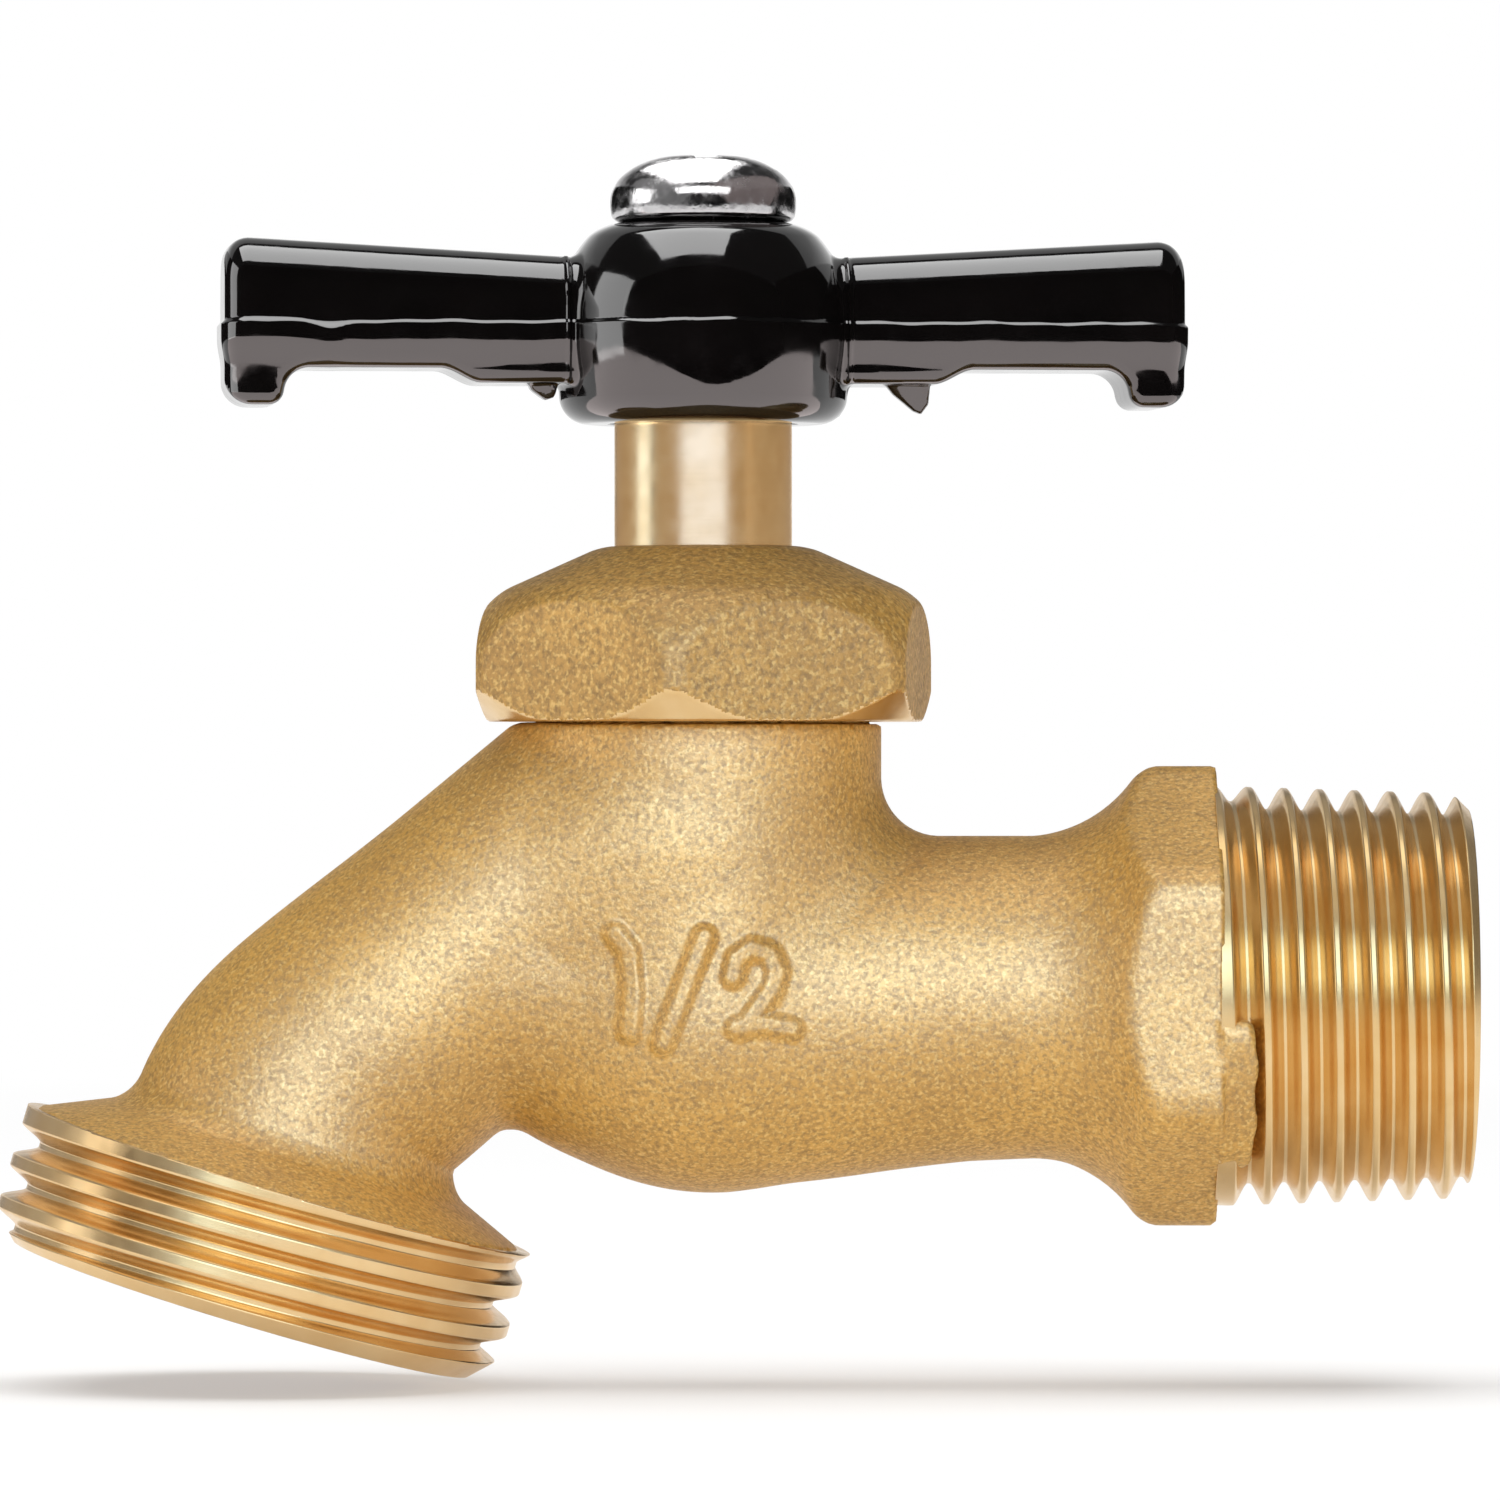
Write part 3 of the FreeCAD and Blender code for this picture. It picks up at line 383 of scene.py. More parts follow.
def cast_brass(name, grain_per_mm, grain_depth, pale, dark):
    """Shot blasted brass: a fine bright grain over slow changes of tone."""
    made = Material(name, pale, metallic=0.2, roughness=0.52)
    made.shader.inputs["IOR"].default_value = 1.75
    slow = made.remap(made.noise(0.16, detail=3.0), (0.35, 0.65), (0, 1))
    tone = made.blend(slow, dark, pale)
    speck = made.noise(grain_per_mm, detail=2.0, rough=0.6)
    shade = tuple(c * GRAIN_SHADE for c in dark)
    darker = made.blend(made.remap(speck, (0.3, 0.6), (0, 1)), shade, tone)
    lighter = made.remap(made.noise(grain_per_mm * 1.35, detail=1.0), (0.52, 0.72), (0, 0.6))
    made.color(made.blend(lighter, darker, GRAIN_GLINT))
    made.roughness(made.remap(speck, (0.3, 0.7), (0.6, 0.46)))
    made.bump(made.noise(grain_per_mm * 0.4), depth_mm=grain_depth * 2.0, strength=0.6)
    made.bump(speck, depth_mm=grain_depth, strength=1.0)
    return made.material


def turned_brass(name, pale, stained):
    """Machined brass, with fine tool marks round the piece's Z axis."""
    made = Material(name, pale, metallic=1.0, roughness=0.24)
    made.shader.inputs["Anisotropic"].default_value = 0.6
    tangent = made.tree.nodes.new("ShaderNodeTangent")
    tangent.direction_type = "RADIAL"
    tangent.axis = "Z"
    made.link(tangent.outputs["Tangent"], made.shader.inputs["Tangent"])
    stain = made.remap(made.noise(0.35, detail=3.0), (0.35, 0.7), (0, 1))
    made.color(made.blend(stain, pale, stained))
    made.roughness(made.remap(made.noise(1.0, detail=1.0), (0.3, 0.7), (0.20, 0.27)))
    marks = made.noise(7.0, detail=2.0, rough=0.6, stretch=(0.03, 0.03, 1))
    made.bump(marks, depth_mm=0.004, strength=0.6)
    return made.material


def black_coating():
    """Thick glossy coating with a slightly wavy surface."""
    made = Material("black_coating", (0.003, 0.003, 0.003), metallic=0.0, roughness=0.07)
    made.shader.inputs["IOR"].default_value = 1.6
    made.roughness(made.remap(made.noise(0.8, detail=3.0), (0.35, 0.75), (0.045, 0.13)))
    made.color(made.blend(made.noise(0.25), (0.001, 0.001, 0.001), (0.003, 0.0025, 0.0025)))
    made.bump(made.noise(0.22), depth_mm=0.10, strength=0.35)
    made.bump(made.noise(1.1, detail=1.0), depth_mm=0.012, strength=0.35)
    return made.material


def bright_screw():
    """Nickel plating with small marks from the screwdriver."""
    made = Material("bright_screw", (0.62, 0.61, 0.62), metallic=1.0, roughness=0.14)
    tone = made.noise(0.9, detail=3.0)
    made.color(made.blend(tone, (0.45, 0.44, 0.45), (0.78, 0.77, 0.77)))
    made.roughness(made.remap(made.noise(1.6, detail=3.0), (0.35, 0.7), (0.08, 0.30)))
    made.bump(made.noise(2.6, detail=3.0), depth_mm=0.03, strength=0.5)
    return made.material


def rubber():
    """Matt black rubber."""
    made = Material("seal_rubber", (0.025, 0.025, 0.027), metallic=0.0, roughness=0.7)
    made.roughness(made.remap(made.noise(3.0), (0.3, 0.7), (0.6, 0.85)))
    made.bump(made.noise(6.0), depth_mm=0.01, strength=0.5)
    return made.material


BODY_BRASS = cast_brass("cast_brass", 3.7, 0.034, (0.70, 0.375, 0.06), (0.575, 0.30, 0.045))
NUT_BRASS = cast_brass("blasted_brass", 3.0, 0.06, (0.63, 0.34, 0.06), (0.50, 0.26, 0.04))
THREAD_BRASS = turned_brass("turned_brass", (0.81, 0.58, 0.30), (0.75, 0.50, 0.22))
OUTLET_BRASS = turned_brass("turned_brass_outlet", (0.82, 0.58, 0.30), (0.76, 0.50, 0.23))
STEM_BRASS = turned_brass("turned_brass_stem", (0.89, 0.62, 0.30), (0.84, 0.55, 0.24))
BLACK = black_coating()
SCREW = bright_screw()
RUBBER = rubber()


def finish_piece(piece, material, body, slot, *nodes):
    """Give a piece its material and body, and let it stand for its nodes."""
    piece.data.materials.append(material)
    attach(piece, body)
    if nodes:
        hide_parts(*nodes)


# Body casting

HEX_START = 12.93
HEX_APOTHEM = 10.48
HEX_CORNER = 11.8
COLLAR_LEFT = -22.9
FLARE_MIDDLE = (-22.88, 15.17)
FLARE_CURVE = 7.0
SMEAR_LEFT = -13.2
SMEAR_RIGHT = -11.3
SMEAR_RADIUS = 10.97
SMEAR_MIDDLE = -4.8
SMEAR_HALF = 3.8
PIPE_RADIUS = 8.2
PIPE_RIGHT = -22.0
NECK_RADIUS = 9.13
SPIGOT_RADIUS = 8.45
SPIGOT_BOTTOM = 4
BOWL_HEIGHT = -0.45
BELLY_X = -38.0
BELLY_DROP = 1.2
BELLY_RADIUS = 8.67
BELLY_END_CURVE = 20.0
BELLY_RUN = 12.4
BELLY_RIGHT = -25.6
BELLY_TAPER = 0.1347
ARM_SLOPE = math.radians(39.6)
ARM_RADIUS = 7.72
ARM_GROWTH = 0.25
ARM_ROOT_OFFSET = 2.4
BEND_CURVE = 9.5
BEND_RADIUS = 7.97
BEND_GROWTH = 0.45
FOOT_RADIUS = 8.42
FOOT_LENGTH = 1.9
OUTLET_SLOPE = math.radians(73.2)
OUTLET_COS = math.cos(OUTLET_SLOPE)
OUTLET_SIN = math.sin(OUTLET_SLOPE)
OUTLET_MOUTH = (-62.9, -16.0)
OUTLET_THREAD_LENGTH = 6.9
SHOULDER_RADIUS = 13.4
SHOULDER_OVERLAP = 0.25
CASTING_RIGHT = -11.0


def arm_path():
    """The arm's axis in the XZ plane: its root, and the start, centre and end of its bend."""
    neck = OUTLET_THREAD_LENGTH + FOOT_LENGTH
    end = (OUTLET_MOUTH[0] + neck * OUTLET_COS, OUTLET_MOUTH[1] + neck * OUTLET_SIN)
    centre = (end[0] + BEND_CURVE * OUTLET_SIN, end[1] - BEND_CURVE * OUTLET_COS)
    arm_cos, arm_sin = math.cos(ARM_SLOPE), math.sin(ARM_SLOPE)
    start = (centre[0] - BEND_CURVE * arm_sin, centre[1] + BEND_CURVE * arm_cos)
    run = (start[0] - (STEM_X - ARM_ROOT_OFFSET)) / -arm_cos
    root = (start[0] + run * arm_cos, start[1] + run * arm_sin)
    return root, start, centre, end


ARM_ROOT, BEND_START, BEND_CENTRE, BEND_END = arm_path()


def arm(x, y, z, shrink):
    """The slanted arm and its bend, shrink thinner than the outside."""
    distance, share = capsule(x, z, ARM_ROOT, BEND_START)
    straight = np.hypot(distance, y) - (ARM_RADIUS + ARM_GROWTH * smooth_step(share, 0.5, 1))
    off_x = x - BEND_CENTRE[0]
    off_z = z - BEND_CENTRE[1]
    first = math.pi / 2 + ARM_SLOPE
    last = math.pi / 2 + OUTLET_SLOPE
    turn = np.clip((np.arctan2(off_z, off_x) - first) / (last - first), 0, 1)
    near = first + turn * (last - first)
    gap = np.hypot(off_x - BEND_CURVE * np.cos(near), off_z - BEND_CURVE * np.sin(near))
    bend = np.hypot(gap, y) - (BEND_RADIUS + BEND_GROWTH * smooth_step(turn, 0, 1))
    distance, _ = capsule(x, z, BEND_END, OUTLET_MOUTH)
    foot = np.hypot(distance, y) - FOOT_RADIUS
    return np.minimum(np.minimum(straight, bend), foot) + shrink


def outlet_place(x, y, z):
    """Distance past the outlet's mouth along its axis, to its right, and from that axis."""
    off_x = x - OUTLET_MOUTH[0]
    off_z = z - OUTLET_MOUTH[1]
    along = -off_x * OUTLET_COS - off_z * OUTLET_SIN
    across = off_x * OUTLET_SIN - off_z * OUTLET_COS
    return along, across, np.hypot(across, y)


def outlet_shoulder(x, y, z):
    """The cone from the arm out to the first thread. It ends just inside the thread's tube."""
    along, across, around = outlet_place(x, y, z)
    rise, run = 4.4, 1.9
    cone = (-(along + 8.6) * rise + (around - 9.0) * run) / math.hypot(rise, run)
    runout = 0.35 * (1 + across / np.maximum(around, 1))
    rim = meet(around - SHOULDER_RADIUS + runout, cone, 0.12)
    return meet(rim, along + OUTLET_THREAD_LENGTH - SHOULDER_OVERLAP, 0.1)


MARK_STROKES = (
    ((-43.6, 3.3), (-42.95, 2.5), (-42.75, 0.5), (-42.9, -1.6)),
    ((-39.1, 3.2), (-41.2, -2.2)),
    (
        (-37.65, 1.2), (-37.45, 2.1), (-36.7, 2.6), (-35.8, 2.3), (-35.4, 1.4), (-35.7, 0.5),
        (-36.9, -1.2),
    ),
    ((-37.45, -1.4), (-36.1, -1.2), (-34.7, -1.45)),
)
MARK_HEIGHT = 0.5
MARK_TOP_HALF = 0.2
MARK_FOOT_HALF = 0.85


def size_mark(x, z):
    """The height of the raised numerals on the front of the belly: a plain one half."""
    near = np.inf
    for stroke in MARK_STROKES:
        for start, end in zip(stroke, stroke[1:]):
            near = np.minimum(near, capsule(x, z, start, end)[0])
    return MARK_HEIGHT * (1 - smooth_step(near, MARK_TOP_HALF, MARK_FOOT_HALF))


def belly_radius(x):
    """The belly's radius round its own line, which runs a little below the inlet's axis."""
    left = np.minimum(x - BELLY_X, 0)
    right = np.clip(x - BELLY_X, 0, BELLY_RUN)
    end = np.sqrt(np.maximum(BELLY_END_CURVE ** 2 - left ** 2, 0)) - BELLY_END_CURVE
    bulge = 0.07 * right * (1 - right / BELLY_RUN)
    sink = 0.1 * np.maximum(x - BELLY_RIGHT, 0)
    return BELLY_RADIUS + end - BELLY_TAPER * right + bulge - sink


def smear(x, around_x, y, z):
    """A smear of casting over the first turns of the inlet thread, low on the front."""
    shape = around_x - SMEAR_RADIUS + 0.12 * (x + HEX_START)
    shape = np.maximum(shape, x - SMEAR_RIGHT + 0.08 * np.sin(z * 2.3))
    ends = (np.abs(z - SMEAR_MIDDLE) - SMEAR_HALF) * 0.5
    return meet(shape, np.maximum(ends, np.maximum(y, SMEAR_LEFT - x)), 0.6)


def collar(x, around_x, y, z):
    """The wrench hexagon, its flare and the smear."""
    past = np.maximum(x - FLARE_MIDDLE[0], 0)
    inward = np.minimum(around_x, FLARE_MIDDLE[1]) - FLARE_MIDDLE[1]
    shape = meet(FLARE_CURVE - np.hypot(past, inward), around_x - HEX_CORNER, 0.8)
    shape = meet(shape, hexagon(y, z, HEX_APOTHEM, 0), 0.4)
    shape = meet(shape, x + HEX_START, 0.15)
    return join(shape, smear(x, around_x, y, z), 0.25)


def casting_outside(x, y, z):
    """The casting without its hollows. The fillets of the neck and arm change with the height."""
    around_x = np.hypot(y, z)
    neck_axis = np.hypot(x - STEM_X, y)
    pipe = np.maximum(np.maximum(around_x - PIPE_RADIUS, STEM_X - x), x - PIPE_RIGHT)
    pipe = np.minimum(pipe, np.maximum(collar(x, around_x, y, z), COLLAR_LEFT - x))
    neck = np.hypot(neck_axis, np.minimum(z - BOWL_HEIGHT, 0)) - NECK_RADIUS
    neck = meet(neck, z - NECK_TOP, 0.15)
    belly = (np.hypot(y, z + BELLY_DROP) - belly_radius(x)) * 0.95
    neck_fillet = 1.2 + 1.8 * smooth_step(z, 3.5, 8.5)
    arm_fillet = 1.1 + 2.1 * smooth_step(z, -6.5, 1.0) - 2.8 * smooth_step(z, 7.0, 13.0)
    shape = join(pipe, belly, 0.9)
    shape = join(shape, neck, neck_fillet)
    shape = join(shape, arm(x, y, z, 0), arm_fillet)
    shape = join(shape, outlet_shoulder(x, y, z), 1.1)
    shape = meet(shape, z - NECK_TOP, 0.3)
    shape = np.minimum(shape, cylinder(neck_axis, SPIGOT_RADIUS, z, SPIGOT_BOTTOM, SPIGOT_TOP))
    front = smooth_step(-y, 2.0, 6.0)
    return shape - size_mark(x, z) * front


BORE_RADIUS = 6.3
BORE_SPARE = 0.04
BORE_LEFT = -30.0
SEAT_HOLE_RADIUS = 4.4
SEAT_RADIUS = 5.8
SEAT_TOP = 3.2
CHAMBER_RADIUS = 7.05
NECK_BORE_RADIUS = 6.55
ARM_WALL = 2.5
ARM_BORE_TOP = (-45.6, 8.9)
ARM_BORE_BEND = (-51.6, 2.9)
ARM_BORE_RADIUS = 3.9
LOWER_ARM_RIGHT = -50.5
MOUTH_RADIUS = 9.65
MOUTH_LENGTH = 6.2
MOUTH_END = 9.4
MOUTH_CORE_RADIUS = 6.0


def waterway(x, y, z):
    """Everything that is hollow in the casting."""
    bore = np.maximum(np.hypot(y, z) - BORE_RADIUS - BORE_SPARE, BORE_LEFT - x)
    lower = rounded_box(x, y, z, middle=(-36.05, 0.0, -4.0), half=(7.55, 5.3, 3.2), edge=2.9)
    stem = np.hypot(x - STEM_X, y)
    seat_hole = cylinder(stem, SEAT_HOLE_RADIUS, z, -4.3, 3.3)
    chamber = cylinder(stem, CHAMBER_RADIUS, z, 2.3, 10.6)
    chamber = cut(chamber, np.maximum(stem - SEAT_RADIUS, z - SEAT_TOP), 0.1)
    neck_bore = cylinder(stem, NECK_BORE_RADIUS, z, 9.0, SPIGOT_TOP + 1.0)
    hollow = np.minimum(np.minimum(bore, lower), np.minimum(seat_hole, chamber))
    hollow = np.minimum(hollow, neck_bore)
    distance, _ = capsule(x, z, ARM_BORE_TOP, ARM_BORE_BEND)
    upper_arm = np.hypot(distance, y) - ARM_BORE_RADIUS
    lower_arm = np.maximum(arm(x, y, z, ARM_WALL), x - LOWER_ARM_RIGHT)
    hollow = np.minimum(hollow, join(upper_arm, lower_arm, 2.0))
    along, _, around = outlet_place(x, y, z)
    funnel = -1.35 * np.minimum(along + MOUTH_LENGTH, 0)
    mouth = np.maximum((around - MOUTH_RADIUS + funnel) * 0.6, -MOUTH_END - along)
    mouth = np.minimum(mouth, around - MOUTH_CORE_RADIUS)
    return np.minimum(hollow, np.where(along > -MOUTH_END, mouth, np.inf))


def casting(x, y, z):
    return cut(casting_outside(x, y, z), waterway(x, y, z), 0.12)


def build_casting():
    high = (CASTING_RIGHT, BODY_HIGH.y, BODY_HIGH.z)
    mark = ((-45.0, -11.0, -3.6), (-33.2, -6.0, 4.8), 2)
    piece = field_mesh("casting", casting, BODY_LOW, high, 0.35, [mark])
    finish_piece(piece, BODY_BRASS, "body", "cast_brass", "tap_body")


# Machined threads

THREAD_ROWS = 34  # in each turn
THREAD_COLUMNS = 288
THREAD_LIP = 0.18
TURNS_PAST_MOUTH = 3


class Thread:
    """A threaded tube along its own Z axis, with its open end at the origin and its length below.
    root and crest are the widths of the flats at the bottom and top of the thread, and start is
    where a groove crosses the angle 0."""

    def __init__(self, radius, taper, pitch, depth, root, crest, start, length, bore, chamfer):
        self.radius = radius
        self.taper = taper
        self.pitch = pitch
        self.depth = depth
        self.root = root
        self.crest = crest
        self.start = start
        self.length = length
        self.bore = bore
        self.chamfer = chamfer

    def outer_radius(self, along, angle):
        """The threaded surface's radius at a distance along the axis, from the mouth at 0. The
        grooves run out towards the hidden end."""
        place = (along - self.start - self.pitch * angle / (2 * math.pi)) / self.pitch
        turn = np.round(place)
        off_groove = np.abs(place - turn) * self.pitch
        groove_at = self.start + self.pitch * (turn + angle / (2 * math.pi))
        flank = (self.pitch - self.crest - self.root) / 2
        climb = np.clip((off_groove - self.root / 2) / flank, 0, 1)
        climb = (climb + smooth_step(climb, 0, 1)) / 2
        deep = self.depth * smooth_step(groove_at, -self.length - 0.2, -self.length + 1.6)
        blank = self.radius - along * self.taper
        radius = blank - deep * (1 - climb)
        return np.minimum(radius, self.radius - self.chamfer - along)

    def build(self, name):
        """Rows that follow the helix, then the open end, the bore and the hidden end."""
        angles = np.arange(THREAD_COLUMNS) * 2 * math.pi / THREAD_COLUMNS
        turns_before = int(self.length / self.pitch) + 3
        steps = np.arange(-turns_before * THREAD_ROWS, TURNS_PAST_MOUTH * THREAD_ROWS + 1)
        turns = steps[:, None] / THREAD_ROWS + angles[None, :] / (2 * math.pi)
        along = np.clip(self.start + self.pitch * turns, -self.length, 0)
        radius = self.outer_radius(along, angles[None, :])
        ones = np.ones(THREAD_COLUMNS)
        lip_radius = self.bore + THREAD_LIP
        rows = [
            *zip(radius, along),
            (radius[-1] * 0.5 + lip_radius * 0.5, 0 * ones),
            (lip_radius * ones, 0 * ones),
            (self.bore * ones, -THREAD_LIP * ones),
            (self.bore * ones, -self.length * 0.5 * ones),
            (self.bore * ones, -self.length * ones),
        ]
        points = np.array([
            np.stack([r * np.cos(angles), r * np.sin(angles), a], axis=1) for r, a in rows
        ])
        index = np.arange(len(rows) * THREAD_COLUMNS).reshape(len(rows), THREAD_COLUMNS)
        # A turn of the helix ends one pitch further along than it starts.
        helix = len(steps)
        further = np.minimum(np.arange(helix) + THREAD_ROWS, helix - 1)
        closing = np.concatenate([index[further, 0], index[helix:, 0]])
        beside = np.concatenate([index[:, 1:], closing[:, None]], axis=1)
        below = np.roll(index, -1, axis=0)
        both = np.roll(beside, -1, axis=0)
        faces = np.stack([index, beside, both, below], axis=2).reshape(-1, 4)
        return make_mesh(name, points.reshape(-1, 3), faces)


def build_thread(name, thread, material, mouth, right, outward):
    """A thread with its mouth at a place in millimetres, its X axis to the right and its Z axis
    outward. It has no node, because the casting stands for the body."""
    piece = thread.build(name)
    merge_close(piece)
    turned = Matrix((right, outward.cross(right), outward)).transposed().to_4x4()
    piece.matrix_world = Matrix.Translation(mouth * MM) @ turned
    finish_piece(piece, material, "body", "turned_brass")


def build_outlet_thread():
    thread = Thread(
        radius=13.45, taper=0.0, pitch=2.209, depth=1.15, root=0.3, crest=0.6, start=-1.75,
        length=OUTLET_THREAD_LENGTH, bore=9.6, chamfer=1.3,
    )
    mouth = Vector((OUTLET_MOUTH[0], 0, OUTLET_MOUTH[1]))
    right = Vector((OUTLET_SIN, 0, -OUTLET_COS))
    outward = Vector((-OUTLET_COS, 0, -OUTLET_SIN))
    build_thread("outlet_thread", thread, OUTLET_BRASS, mouth, right, outward)


def build_inlet_thread():
    thread = Thread(
        radius=10.36, taper=math.tan(math.radians(1.79)), pitch=1.814, depth=1.1, root=0.16,
        crest=0.24, start=-1.28, length=HEX_START + 0.17, bore=BORE_RADIUS, chamfer=0.8,
    )
    mouth, up, outward = Vector((0, 0, 0)), Vector((0, 0, 1)), Vector((1, 0, 0))
    build_thread("inlet_thread", thread, THREAD_BRASS, mouth, up, outward)


# Bonnet nut

BONNET_X = STEM_X + 0.1
BONNET_TURN = 7.5
BONNET_APOTHEM = 11.03
BONNET_CORNER = 12.45
CONE_SLOPE = math.atan2(2.03, 4.54)
CHAMFER_SLOPE = math.atan2(1.65, 1.4)
CHAMFER_RADIUS = 11.15
STEM_HOLE_RADIUS = 4.62
SOCKET_RADIUS = 8.51
PACKING_RADIUS = 7.56
MACHINED_HEIGHT = 1.8


def bonnet(x, y, z):
    """The bonnet nut: a hexagon with a coned top and a chamfered foot, hollow over the spigot."""
    around = np.hypot(x - BONNET_X, y)
    up = z - BONNET_LOW.z
    cone = (up - 6.97) * math.cos(CONE_SLOPE) + (around - 9.8) * math.sin(CONE_SLOPE)
    shape = meet(around - BONNET_CORNER, cone, 2.6)
    shape = meet(shape, hexagon(x - BONNET_X, y, BONNET_APOTHEM, 60 - BONNET_TURN), 0.14)
    shape = meet(shape, up - (BONNET_HIGH.z - BONNET_LOW.z), 0.3)
    chamfer = (around - CHAMFER_RADIUS) * math.sin(CHAMFER_SLOPE) - up * math.cos(CHAMFER_SLOPE)
    shape = meet(shape, chamfer, 0.12)
    shape = meet(shape, -up, 0.12)
    stem = np.hypot(x - STEM_X, y)
    hollow = stem - STEM_HOLE_RADIUS
    hollow = np.minimum(hollow, np.maximum(stem - SOCKET_RADIUS, z - SPIGOT_TOP - 0.1))
    hollow = np.minimum(hollow, np.maximum(stem - PACKING_RADIUS, z - SPIGOT_TOP - 2.3))
    return cut(shape, hollow, 0.12)


def build_bonnet():
    """The nut, with machined brass on the faces of its foot that face down."""
    piece = field_mesh("bonnet", bonnet, BONNET_LOW, BONNET_HIGH, 0.17)
    finish_piece(piece, NUT_BRASS, "body", "cast_brass", "bonnet_nut")
    piece.data.materials.append(THREAD_BRASS)
    limit = (BONNET_LOW.z + MACHINED_HEIGHT) * MM
    for face in piece.data.polygons:
        if face.center.z < limit and face.normal.z < -0.35:
            face.material_index = 1


# Handle

HANDLE_TURN = math.radians(6.0)
PARTING_HEIGHT = 34.6
BAR_HALF = 24.65
BAR_DEPTH = 3.3
BAR_ROOT = 7.2
BAR_TOP = 37.82
BAR_TOP_END = 38.76
BAR_UNDER = 31.3
HOOK_REACH = 21.65
HOOK_BOTTOM = 30.15
LOWER_SIDE_BLEND = 0.3
HUB_RADIUS = 7.55
HUB_CROWN = 6.9
POCKET_RADIUS = 4.67
POCKET_TOP = 31.0
SQUARE_HALF = 3.21
SCREW_HOLE_RADIUS = 2.06
FLASH_REACH = 7.2
FLASH_SIZE = 0.15
# Corners in the XZ plane, the middle in Y and the thickness
SLIVERS = (
    (((-9.35, 31.7), (-9.0, 30.95), (-8.25, 30.45), (-7.8, 30.6), (-7.5, 31.7)), -1.6, 1.3),
    (((6.7, 31.6), (6.95, 29.9), (7.5, 31.6)), -1.4, 0.7),
    (
        ((8.9, 31.6), (9.6, 30.8), (10.7, 29.95), (11.1, 29.8), (11.45, 30.3), (11.5, 31.8)),
        -1.8, 0.7,
    ),
)


def sliver(x, y, z, corners, middle, thickness):
    """A thin crumpled plate of stray coating, with anticlockwise corners in the XZ plane."""
    shape = -np.inf
    for start, end in zip(corners, corners[1:] + corners[:1]):
        across = (x - start[0]) * (end[1] - start[1]) - (z - start[1]) * (end[0] - start[0])
        shape = np.maximum(shape, across / math.dist(start, end))
    crease = ridge(np.sin(x * 1.3 + z + 0.9), 0, 0.2)
    crumple = 0.55 * (BAR_UNDER - z) + 0.04 * np.sin(x * 4 + z * 2.5) + 0.12 * crease
    return meet(shape, np.abs(y - middle - crumple) - thickness / 2, 0.15)


def bar(x, y, z):
    """The handle's bar, whose ends hook down. Its sides curve inward above and below the parting
    line, and lower down they are upright."""
    reach = np.abs(x)
    top = z - np.minimum(BAR_TOP + 0.056 * (reach - BAR_ROOT), BAR_TOP_END)
    under = BAR_UNDER + 0.75 * smooth_step(reach, 11.6, 13.7) - z
    hook = meet(HOOK_REACH - reach, HOOK_BOTTOM - z, 0.8)
    under = join(under, hook, 1.3)
    above = z - PARTING_HEIGHT
    upright = np.minimum(2.1 + 0.045 * (reach - 7.5) ** 2, 2.85 + 0.35 * (reach - 22.8) ** 2)
    past = np.logaddexp(0, (-above - upright) / LOWER_SIDE_BLEND)
    above = above + LOWER_SIDE_BLEND * past
    side = np.abs(y) - BAR_DEPTH + np.where(above < 0, 0.023, 0.012) * above ** 2
    shape = meet(side, top, 2.3)
    shape = meet(shape, under, 0.6)
    return meet(shape, reach - BAR_HALF, 1.35)


def hub(around, z):
    """The barrel round the stem."""
    up = (z - PARTING_HEIGHT) / HUB_CROWN
    upper = HUB_RADIUS * np.sqrt(np.clip(1 - up ** 2, 0.05, 1))
    lower = HUB_RADIUS - 0.0105 * (z - PARTING_HEIGHT) ** 2
    steep = np.where(z > PARTING_HEIGHT, np.clip(1 - 0.45 * up ** 2, 0.5, 1), 1)
    side = (around - np.where(z > PARTING_HEIGHT, upper, lower)) * steep
    shape = meet(side, z - HUB_TOP, 0.8)
    return meet(shape, HUB_BOTTOM - z, 1.3)


def parting_ledge(reach, x, z):
    """How far the coating stands out below the wavy parting line, fading further down."""
    waver = 0.03 * np.sin(x * 0.9 + 1.3) + 0.02 * np.sin(x * 2.3)
    waver = waver - 0.22 * ridge(x, -19.3, 1.0) + 0.1 * ridge(x, -23.0, 1.5)
    spread = 0.13 + 0.15 * ridge(x, -19.3, 0.8) + 0.08 * ridge(x, -22.8, 1.4)
    below = PARTING_HEIGHT - 0.2 + waver - z
    fade_start = 0.8 + 2.5 * (1 - smooth_step(reach, 0, 5.2))
    fade_end = 4.8 - 2.5 * smooth_step(reach, 5.5, 7.5)
    ledge = 1.3 * spread * smooth_step(below / spread, -1, 1)
    return ledge * (1 - smooth_step(below, fade_start, fade_end))


def handle(x, y, z):
    """The tee handle, in its own frame: x along the bar, y across it, both from the stem's axis."""
    reach = np.abs(x)
    around = np.hypot(x, y)
    shape = join(bar(x, y, z), hub(around, z), 0.35)
    flash = ridge(reach, FLASH_REACH, FLASH_SIZE) * FLASH_SIZE
    flash = flash * (around > 6.9) * (np.abs(y) > 1.5) * smooth_step(z, 31.0, 31.6)
    shape = shape - parting_ledge(reach, x, z) - flash
    for corners, middle, thickness in SLIVERS:
        shape = join(shape, sliver(x, y, z, corners, middle, thickness), 0.12)

    pocket = np.maximum(around - POCKET_RADIUS, z - POCKET_TOP)
    square = cylinder(np.maximum(reach, np.abs(y)), SQUARE_HALF, z, 30.5, 38.4)
    hole = around - SCREW_HOLE_RADIUS
    return cut(shape, np.minimum(np.minimum(pocket, square), hole), 0.1)


